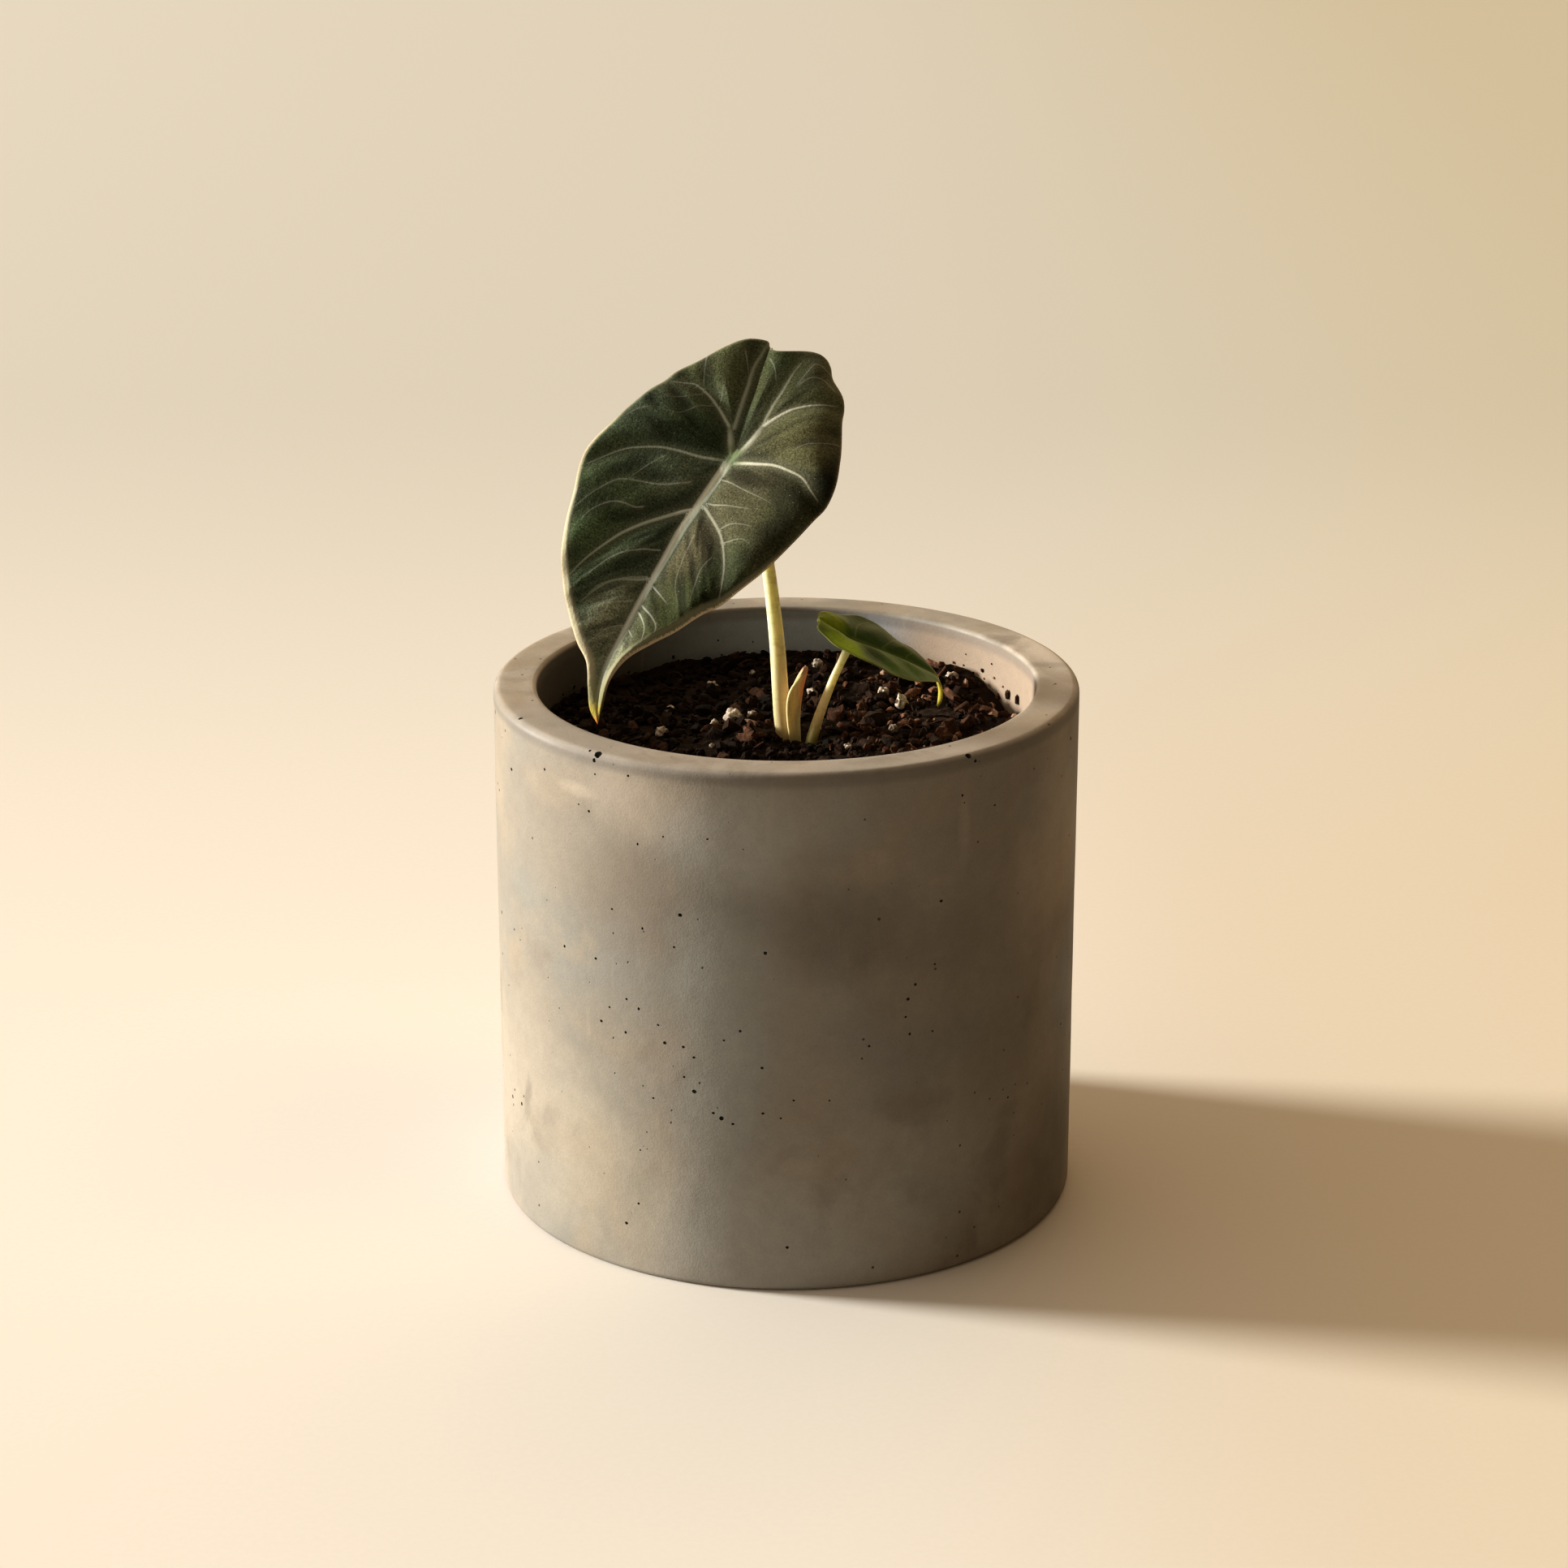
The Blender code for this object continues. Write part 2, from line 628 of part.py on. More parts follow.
def make_blade(name, blade, material):
    """A closed blade: its upper face, and the same face moved down by its thickness."""
    face, thickness = blade_face(blade)
    down_rows = np.gradient(face, axis=0)
    across = np.gradient(face, axis=1)
    normal = np.cross(across, down_rows)
    normal[[0, -1]] = normal[[1, -2]]
    middle = blade["columns"]
    normal[0, :] = normal[0, middle]
    normal[-1, :] = normal[-1, middle]
    normal /= np.linalg.norm(normal, axis=-1, keepdims=True)
    if (normal @ np.array(blade_frame(blade)[2])).mean() < 0:
        normal = -normal
    under = face - normal * thickness[..., None]

    rows, columns = face.shape[:2]
    points = []
    for sheet in (face, under):
        points.append(sheet[0, middle])
        points += list(sheet[1:-1].reshape(-1, 3))
        points.append(sheet[-1, middle])
    per_sheet = (rows - 2) * columns + 2

    def corner(side, row, column):
        if row == 0:
            return side * per_sheet
        if row == rows - 1:
            return side * per_sheet + per_sheet - 1
        return side * per_sheet + 1 + (row - 1) * columns + column

    faces = []
    for row in range(rows - 1):
        for column in range(columns - 1):
            left_half = column < middle
            for side in (0, 1):
                a, b = corner(side, row, column), corner(side, row, column + 1)
                c, d = corner(side, row + 1, column + 1), corner(side, row + 1, column)
                halves = [(a, b, d), (b, c, d)] if left_half else [(a, b, c), (a, c, d)]
                faces += [half for half in halves if len(set(half)) == 3]
    border = [(row, 0) for row in range(rows)]
    border += [(row, columns - 1) for row in range(rows - 2, 0, -1)]
    for (r0, c0), (r1, c1) in zip(border, border[1:] + border[:1]):
        a, b = corner(0, r0, c0), corner(0, r1, c1)
        faces += [(a, b, corner(1, r1, c1)), (a, corner(1, r1, c1), corner(1, r0, c0))]
    obj = solid_from(name, np.array(points) * MM, faces, material)
    shade_round(obj, 60)


def clod(name, place, radius, dice, fineness=1):
    """A small uneven lump, rounder than it is flat."""
    work = bmesh.new()
    bmesh.ops.create_icosphere(work, subdivisions=fineness, radius=radius)
    for vert in work.verts:
        vert.co *= 1 + dice.uniform(-CLOD_UNEVENNESS, CLOD_UNEVENNESS)
    stretch = Matrix.Diagonal((dice.uniform(0.85, 1.25), dice.uniform(0.8, 1.1), 0.85, 1))
    turn = Euler([dice.uniform(0, 2 * math.pi) for _ in range(3)]).to_matrix().to_4x4()
    bmesh.ops.transform(work, verts=work.verts, matrix=Matrix.Translation(place) @ turn @ stretch)
    mesh = bpy.data.meshes.new(name)
    work.to_mesh(mesh)
    work.free()
    return add_object(name, mesh)


def grown(obj, name, amount):
    """A copy of a rounded object, grown outwards by an amount."""
    mesh = obj.data.copy()
    normals = [vert.normal.copy() for vert in mesh.vertices]
    for vert, normal in zip(mesh.vertices, normals):
        vert.co += normal * amount
    return add_object(name, mesh)


def make_perlite(material):
    dice = random.Random(5)
    grains = []
    for number, (x, y, radius) in enumerate(PERLITE_GRAINS, 1):
        height = soil_height(x * MM, y * MM) + (1 - 2 * GRAIN_BEDDED) * radius * MM
        place = Vector((x * MM, y * MM, height))
        fineness = 2 if radius > SMOOTH_GRAIN_RADIUS else 1
        grain = clod(f"perlite_{number:02d}", place, radius * MM, dice, fineness)
        grain.data.materials.append(material)
        shade_round(grain, 70)
        grains.append(grain)
    return grains


def make_soil(grains, material):
    """Potting mix with clods fused to its surface, and plain hollows for what stands in it."""
    radius = POT_INNER_RADIUS - GAP
    fillet = POT_INNER_FILLET
    floor = POT_FLOOR + GAP
    profile = [(0, floor)]
    profile += corner_round((radius - fillet, floor + fillet), fillet, -90, 0)
    profile += [(radius, POT_HEIGHT + 5 * MM), (0, POT_HEIGHT + 5 * MM)]
    filling = turned("filling", profile, POT_SEGMENTS)

    dice = random.Random(11)
    cells = math.ceil(2 * (radius + SOIL_CELL) / SOIL_CELL)
    start = -cells * SOIL_CELL / 2
    surface = []
    base = []
    for row in range(cells + 1):
        for column in range(cells + 1):
            x = start + column * SOIL_CELL + dice.uniform(-0.2, 0.2) * SOIL_CELL
            y = start + row * SOIL_CELL + dice.uniform(-0.2, 0.2) * SOIL_CELL
            z = soil_height(x, y) + dice.uniform(-1, 1) * SOIL_ROUGHNESS
            surface.append((x, y, z))
            base.append((x, y, 0))
    soil = solid_from("soil", base + surface, two_faced_grid(cells + 1, cells + 1), material)

    clods = []
    kept_free = [(Vector(place) * MM, CLOD_FREE_REACH) for place in CLOD_FREE]
    kept_free += [(Vector(grain[:2]) * MM, grain[2] * MM) for grain in PERLITE_GRAINS]
    for number in range(CLODS):
        away = CLOD_FIELD * math.sqrt((number + 0.5) / CLODS)
        turn = number * GOLDEN_ANGLE + dice.uniform(-0.1, 0.1)
        x, y = away * math.cos(turn), away * math.sin(turn)
        size = dice.uniform(*CLOD_RADII)
        if any((Vector((x, y)) - place).length < reach + size / 2 for place, reach in kept_free):
            continue
        place = Vector((x, y, soil_height(x, y) + CLOD_RISE * size))
        clods.append(clod(f"clod_{number}", place, size, dice))
    combine(soil, "UNION", clods)
    combine(soil, "INTERSECT", [filling])

    hollow = make_rootstock("hollow", GAP)
    hollow_parts = [
        stem("hollow_large", LARGE_STEM_LINE, LARGE_STEM_RADII, GAP),
        stem("hollow_small", SMALL_STEM_LINE, SMALL_STEM_RADII, GAP),
        sheath("hollow_sheath", GAP),
    ]
    combine(hollow, "UNION", hollow_parts)
    sockets = [grown(grain, f"socket_{number}", GAP) for number, grain in enumerate(grains)]
    combine(soil, "DIFFERENCE", [hollow])
    combine(soil, "DIFFERENCE", sockets)
    keep_largest_body(soil)
    shade_round(soil, 35)


def main():
    clear_scene()
    concrete = plain_material("concrete", (0.30, 0.26, 0.21), 0.75)
    soil = plain_material("potting_mix", (0.045, 0.028, 0.018), 0.95)
    perlite = plain_material("perlite", (0.78, 0.73, 0.66), 0.9)
    rootstock = plain_material("rootstock", (0.33, 0.21, 0.12), 0.8)
    large_green = plain_material("large_blade", (0.045, 0.07, 0.032), 0.55)
    small_green = plain_material("small_blade", (0.07, 0.15, 0.02), 0.45)
    stem_green = plain_material("stem", (0.62, 0.60, 0.30), 0.5)
    dry_sheath = plain_material("sheath", (0.55, 0.30, 0.13), 0.7)

    make_pot(concrete)
    grains = make_perlite(perlite)
    make_soil(grains, soil)
    make_rootstock("rootstock", 0.0, rootstock)
    large_stem = stem("large_leaf_stem", LARGE_STEM_LINE, LARGE_STEM_RADII, 0.0, stem_green)
    small_stem = stem("small_leaf_stem", SMALL_STEM_LINE, SMALL_STEM_RADII, 0.0, stem_green)
    shade_round(large_stem, 50)
    shade_round(small_stem, 50)
    shade_round(sheath("leaf_sheath", 0.0, dry_sheath), 50)
    make_blade("large_leaf_blade", LARGE_BLADE, large_green)
    make_blade("small_leaf_blade", SMALL_BLADE, small_green)


main()
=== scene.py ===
"""The finished look of a small potted alocasia in a round cast concrete pot.

Lengths are in metres. A plain number in a list of places is in millimetres, and becomes metres
where it is multiplied by MM. -Y is the plant's front, and +X the side that the small leaf points to.
Colours are in linear light. A span is where a change starts and where it is full.
"""

import math
import random

import bpy
import numpy as np
from mathutils import Euler, Matrix, Vector, noise

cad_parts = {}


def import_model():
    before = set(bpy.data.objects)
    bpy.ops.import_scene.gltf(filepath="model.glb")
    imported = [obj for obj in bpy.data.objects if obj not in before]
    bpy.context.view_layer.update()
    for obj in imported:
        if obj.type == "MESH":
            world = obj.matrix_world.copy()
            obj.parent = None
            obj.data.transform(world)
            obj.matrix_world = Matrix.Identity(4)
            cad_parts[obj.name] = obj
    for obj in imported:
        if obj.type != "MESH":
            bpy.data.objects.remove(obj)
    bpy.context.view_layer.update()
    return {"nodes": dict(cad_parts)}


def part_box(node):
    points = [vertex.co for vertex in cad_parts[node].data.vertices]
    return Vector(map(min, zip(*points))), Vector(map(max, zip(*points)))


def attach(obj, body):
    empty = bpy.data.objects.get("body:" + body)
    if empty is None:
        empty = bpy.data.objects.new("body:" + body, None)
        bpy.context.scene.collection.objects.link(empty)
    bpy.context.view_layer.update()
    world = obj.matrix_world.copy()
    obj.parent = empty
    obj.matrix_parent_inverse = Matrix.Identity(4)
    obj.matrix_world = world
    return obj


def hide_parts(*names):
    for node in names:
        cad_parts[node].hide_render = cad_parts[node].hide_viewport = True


MM = 0.001
FULL_TURN = 2 * math.pi
# Places count as the same when they are this near.
NEAR = 0.05 * MM

# The camera that the photograph was taken with, and its frame.
CAMERA_PLACE = (-0.0004, -0.6601, 0.3022)
CAMERA_TILT = 70.79
CAMERA_LENS = 93.1
CAMERA_SENSOR = 36.0
FRAME_PIXELS = 1932

# Light: low and warm from the left, a little behind the pot.
KEY_WAY = Vector((-0.949, 0.202, 0.242)).normalized()
KEY_DISTANCE = 8.0
KEY_RADIUS = 0.8
KEY_POWER = 6700.0
KEY_COLOUR = (1.0, 0.955, 0.85)
KEY_CONE = math.radians(80)
FILL_LEFT = (1.02, 0.83, 0.61)
FILL_RIGHT_FRONT = (0.080, 0.045, 0.016)
FILL_RIGHT_BACK = (1.9, 1.3, 0.72)
# The right side's fill gets brighter from the front to the back, and the room darker to the right.
FILL_BACK_SPAN = (0.3, 0.95)
FILL_RIGHT_SPAN = (-1.0, 0.2)
FAR_WALL_COLOUR = (0.66, 0.56, 0.43)

FLOOR_SIZE = 14.0
FLOOR_DROP = 0.02 * MM
FLOOR_COLOUR = (0.87, 0.84, 0.80)
# Painted shade: far away the floor is painted darker, as the light falls off.
FAR_FLOOR_SHADE = (0.61, 0.61, 0.575)
FAR_FLOOR_SHADE_SPAN = (0.0, 0.6)
# Painted shade: towards the right the floor is painted darker and warmer.
RIGHT_FLOOR_SHADE = (0.95, 0.89, 0.74)
RIGHT_FLOOR_SPAN = (0.0, 0.35)
# Painted shadow beside the pot, at its right: its shade, the spans of its two sides, and its span in depth.
BESIDE_FLOOR_SHADE = (0.91, 0.87, 0.80)
BESIDE_FLOOR_SPANS = ((0.0, 0.1), (0.5, 0.2), (0.45, 0.1))
# The pot throws much light back on the floor at its left, and painted shade there dims it.
GLOW_FLOOR_SHADE = (0.90, 0.85, 0.91)
GLOW_FLOOR_SPANS = ((-0.15, -0.055), (-0.02, -0.045), (0.065, 0.005))
GLOW_FLOOR_DEPTH = 0.014
# The floor gives less light back to the pot than a floor that is lit all round would.
FLOOR_BOUNCE = 0.5

POT_WALL = 7.4 * MM
POT_FLOOR = 10 * MM
POT_SIDES = 240
POT_RINGS = 44
RIM_RINGS = 5
RIM_ROUND = 1.3 * MM
MOUTH_ROUND = 0.8 * MM
FOOT_ROUND = 1.2 * MM
FLOOR_FILLET = 4 * MM
# An edge longer than this share of the pot's height runs up a wall.
WALL_EDGE_SHARE = 0.6
CAST_WAVE = 0.05 * MM
CAST_WAVE_SPAN = 9 * MM

# Air pits of the casting: where the photograph shows each, in its pixels, and its width in mm.
PITS_SEEN = [
    (642, 885, 0.9), (736.8, 929.4, 1.3), (731.9, 936.9, 0.7), (727, 925, 0.5), (671, 948, 0.6),
    (774, 956, 0.5), (733, 954, 0.4), (725.6, 999.6, 0.5), (713, 991, 0.4), (1193.4, 931.3, 1.1),
    (1202, 937.5, 0.6), (1300.5, 842.6, 0.6), (785.6, 1040, 0.5), (817, 1031, 0.4), (871.6, 1034, 0.4),
    (754, 1120, 0.5), (838, 1127.6, 0.8), (791.5, 1144, 0.5), (830.5, 1167, 0.5), (695.6, 1166, 0.6),
    (734, 1181, 0.6), (772, 1231, 0.5), (787, 1243, 0.6), (751, 1241, 0.4), (741, 1258, 0.6),
    (771, 1272, 0.5), (811, 1263, 0.4), (819, 1285, 0.6), (842, 1290, 0.5), (855, 1303, 0.5),
    (912, 1270.5, 0.5), (892, 1282, 0.4), (943, 1174.5, 0.6), (939, 1316, 0.5), (855.5, 1345, 0.7),
    (843, 1327, 0.4), (889, 1378, 0.9), (879, 1371.5, 0.5), (903, 1385, 0.5), (940, 1372, 0.5),
    (962, 1378, 0.4), (978, 1356, 0.5), (970, 1537, 0.6), (787, 1483, 0.5), (772, 1507, 0.6),
    (789, 1417, 0.4), (805, 1353, 0.4), (1186, 980, 0.5), (1226, 992, 0.5), (1160, 1110, 0.6),
    (1152, 1188, 0.5), (1128, 1213, 0.6), (1119, 1231, 0.6), (1116, 1253, 0.5), (1121, 1274, 0.6),
    (1149, 1270.5, 0.4), (1071, 1289, 0.5), (1022, 1356, 0.4), (1242, 1352, 0.5),
]
PITS_ROUND_THE_BACK = 90
PIT_TURNS = (math.radians(-25), math.radians(205))
PIT_HEIGHT_SHARES = (0.04, 0.97)
PIT_WIDTHS = (0.35, 0.9)
PIT_SPACING = 1.4 * MM
PIT_PLACE_SEED = 8
PIT_SHAPE_SEED = 21
# How a pit's ball is stretched along each of its axes, and how uneven it is.
PIT_STRETCHES = ((0.85, 1.25), (0.8, 1.1))
PIT_DEPTH = 0.9
PIT_UNEVENNESS = 0.12
# In widths: how far a pit's ball is sunk, and how near and how deep its inside lies, which is painted dark
# as shade.
PIT_SINK = 0.12
PIT_REACH = 0.65
PIT_INSIDE = 0.2

SOIL_LEVEL = 82.3 * MM
SOIL_GAP = 0.3 * MM
SOIL_BASE = POT_FLOOR + SOIL_GAP
SOIL_CELLS = 210
# The mix's sheet in radii of the pot's inside, the block that cuts it round, and its lower end.
SOIL_SHEET_SPAN = 2.08
MOULD_DEPTH = 100 * MM
BELOW_THE_POT = -10 * MM
BED_TINT = 0.30
BED_TINT_CHANGE = 0.25
BED_TINT_SPAN = 1.1 * MM
# Soft rises and hollows of the surface: middle across, middle in depth, reach and height.
SOIL_SWELLS = [
    (-7, -6, 6, 1.5), (-9, -16, 8, 0.8), (2, -2.2, 4, -1.3), (1.5, -6, 4.5, -1.4), (8, 33, 12, 1.2),
    (30, 27, 7, 1.9), (39.5, 15, 7, -2.9), (41, 4, 5, -1.8), (31, 6, 6, 0.8), (-25, 22, 12, -0.9),
    (20, -22, 14, 0.5),
]
# Lumps of the surface: their spacing and height.
SOIL_LUMPS = [(3.6, 0.95), (1.7, 0.55), (0.9, 0.22)]
LUMP_MIDDLE = 0.55
GOLDEN_ANGLE = math.pi * (3 - math.sqrt(5))
# The loose pieces keep this far from the wall, and each kind its own inset more. Its room is what it
# keeps from the plant, and its lift is how high its middle lies, in its sizes.
WALL_ROOM = 0.6 * MM
CLOD_INSET = 2.6 * MM
CLOD_ROOM = 1.2 * MM
CLOD_LIFT = 0.2
CRUMB_INSET = 0.8 * MM
CRUMB_LIFT = 0.35
CHIP_INSET = 1.6 * MM
CHIP_ROOM = 0.6 * MM
CHIP_LIFT = 0.25
FIBRE_INSET = 3.5 * MM
FIBRE_ROOM = 1.4 * MM
FIBRE_HEIGHT = 0.3 * MM
FIBRE_LEANS = ((-0.5, 0.5), (-0.25, 0.25), (0, 6.3))
FIBRE_THICKNESS = 0.8
# How far a loose piece lies off its even place: its turn round the middle, and its shift in mm.
SCATTER_TURN = 0.6
SCATTER_SHIFT = 0.5
MIX_SEED = 3
CHIP_SEED = 20
FIBRE_SEED = 40
CRUMB_SHAPES = 5
CHIP_SHAPES = 4
FIBRE_SHAPES = 4
# The sides of a crumb's and a chip's block, and how far their corners are pushed about.
CRUMB_SIDES = (1, 0.9, 0.8)
CHIP_SIDES = (1, 0.48, 0.3)
CORNER_JITTER = 0.30
CHIP_LEAN = math.radians(35)
FIBRE_RADIUS = 0.035
FIBRE_SIDES = 4
FIBRE_CUTS = 6
FIBRE_BENDS = (0.1, 0.35)
FIBRE_TWISTS = (-0.2, 0.2)
CLODS = 56
CLOD_WIDTHS = (2.6, 5.2)
CLOD_SHAPES = ((0.8, 1.1), (0.6, 0.9))
CRUMBS = 1500
CRUMB_WIDTHS = (0.7, 2.3)
CRUMB_STRETCH = (0.75, 1.2)
BARK_CHIPS = 230
BARK_LENGTHS = (2.2, 5.0)
FIBRES = 150
FIBRE_LENGTHS = (3.0, 8.0)
# The middle tint of each kind of piece, and the lightest tint of the large ones.
CLOD_TINT = 0.48
CRUMB_TINT = 0.46
CHIP_TINT = 0.60
FIBRE_TINT = 0.55
SEEN_SPECK_TINT = 0.78
SPECK_TINT = 0.45
LIGHTEST_CLOD = 0.84
LIGHTEST_CHIP = 0.86
# Where the mix's pieces are lighter: a mound round the stems, the right side, slanting off towards the
# front, and the back right, where they are a little less light.
MOUND_PLACE = (-5 * MM, -6 * MM)
MOUND_REACH = 7 * MM
LIGHTER_RIGHT_SPAN = (-4 * MM, 20 * MM)
LIGHTER_RIGHT_FRONT = -8 * MM
LIGHTER_RIGHT_SLANT = 0.6
LIGHTER_BACK = 0.7
LIGHTER_BACK_SPAN = (8 * MM, 24 * MM)
LIGHTER_BACK_RIGHT_SPAN = (-16 * MM, 0.0)
# Away from those places a tint is painted darker, as shade. A tint also differs by chance, and is now and
# then much lighter.
PAINTED_SHADE_TINT = 0.22
TINT_CHANCES = (-0.35, 0.2)
LIGHT_TINT = 0.5
LEAST_LIGHT = 0.25
DARKEST_TINT = 0.02
# Places kept free of loose pieces: the foot of each stem, and below the small leaf's tip.
KEPT_FREE = [(-0.15, -1.6, 2.3), (4.2, -3.9, 1.9), (2.4, -1.8, 2.2), (25.8, 7.5, 3.0)]
# Crumbs on the inner wall: where the photograph shows each, in its pixels, and its width in mm.
SPECKS_SEEN = [
    (1175, 816, 0.7), (1199.5, 829, 0.8), (1212.5, 836, 0.6), (1225, 835, 0.7), (1222, 818, 0.5),
    (1230, 859, 1.3), (1243, 856, 1.5), (1254.6, 862.5, 1.4), (1190, 806, 0.4), (1236, 846, 0.6),
]
SPECK_SEED = 17
SPECKS_ROUND_THE_WALL = 46
SPECK_SIZES = (0.18, 0.45)
SPECK_LOWEST = 0.4
SPECK_RISE = 3.4
PERLITE_CRUMBS = 24
PERLITE_CRUMB_WIDTHS = (0.5, 1.3)
PERLITE_REACH = 40 * MM
PERLITE_SEED = 29
PERLITE_ROOM = 0.4 * MM
PERLITE_LIFT = 0.2
GRAINS = 14
# A grain's lumps and dents, in its radii, and how many of them lie side by side.
GRAIN_LUMP = 0.42
GRAIN_LUMPS = 1.7
GRAIN_DENT = 0.22
GRAIN_DENTS = 4.0

# A stem is its line, its radii at even stations along it, its colours at foot, middle and top, and
# the heights in metres from which and up to which they change.
LARGE_STEM = {
    "line": [
        (0.2, -1.7, 76.1), (-0.15, -1.6, 80.7), (-0.7, -1.4, 85.0), (-1.05, -1.1, 89.8),
        (-1.6, -0.2, 98.0), (-2.75, 1.3, 108.2), (-4.0, 3.3, 115.6), (-5.9, 5.6, 121.9),
        (-8.0, 6.0, 126.0), (-8.85, 4.0, 128.2),
    ],
    "radii": (1.62, 1.5, 1.42, 1.36, 1.27, 1.18, 1.12, 1.08, 1.12, 1.3),
    "tones": [(0.52, 0.43, 0.22), (0.86, 0.83, 0.52), (0.66, 0.70, 0.38)],
    "tone_heights": (0.080, 0.126),
}
SMALL_STEM = {
    "line": [
        (3.9, -3.9, 76.1), (4.2, -3.9, 80.7), (4.9, -4.1, 83.7), (5.9, -4.3, 87.0), (7.0, -4.3, 90.0),
        (8.1, -4.1, 92.8), (9.3, -3.3, 95.2), (10.6, -1.9, 97.6),
    ],
    "radii": (1.1, 1.05, 0.95, 0.85, 0.75, 0.7, 0.66, 0.74),
    "tones": [(0.44, 0.41, 0.14), (0.96, 0.78, 0.42), (0.96, 0.84, 0.48)],
    "tone_heights": (0.081, 0.096),
}
STEM_RINGS = 90
STEM_SIDE_STEPS = 16
JOIN_WITHIN = 0.001 * MM

SHEATH_TIP_HEIGHT = 93.6 * MM
SHEATH_THICKNESS = 0.5 * MM
SHEATH_FLARE = 2.4 * MM
SHEATH_MIDDLE = math.radians(2)
SHEATH_FRONT_WRAP = math.radians(62)
SHEATH_BACK_WRAP = math.radians(84)
SHEATH_TIP_WRAP = math.radians(5)
# How much wider the front half gets on its way up, and how late each half narrows to the tip.
SHEATH_FRONT_GROWTH = 0.3
SHEATH_FRONT_POWER = 7
SHEATH_BACK_POWER = 2.2
SHEATH_TIP_ROUND = 0.75
# The crease: its height, where it lies across the shell, and how narrow it is.
SHEATH_CREASE = 0.34 * MM
SHEATH_CREASE_AT = -0.45
SHEATH_CREASE_NARROWING = 1.6
SHEATH_WAVE = 0.05 * MM
SHEATH_WAVES = 9
SHEATH_ROWS = 40
SHEATH_COLUMNS = 28

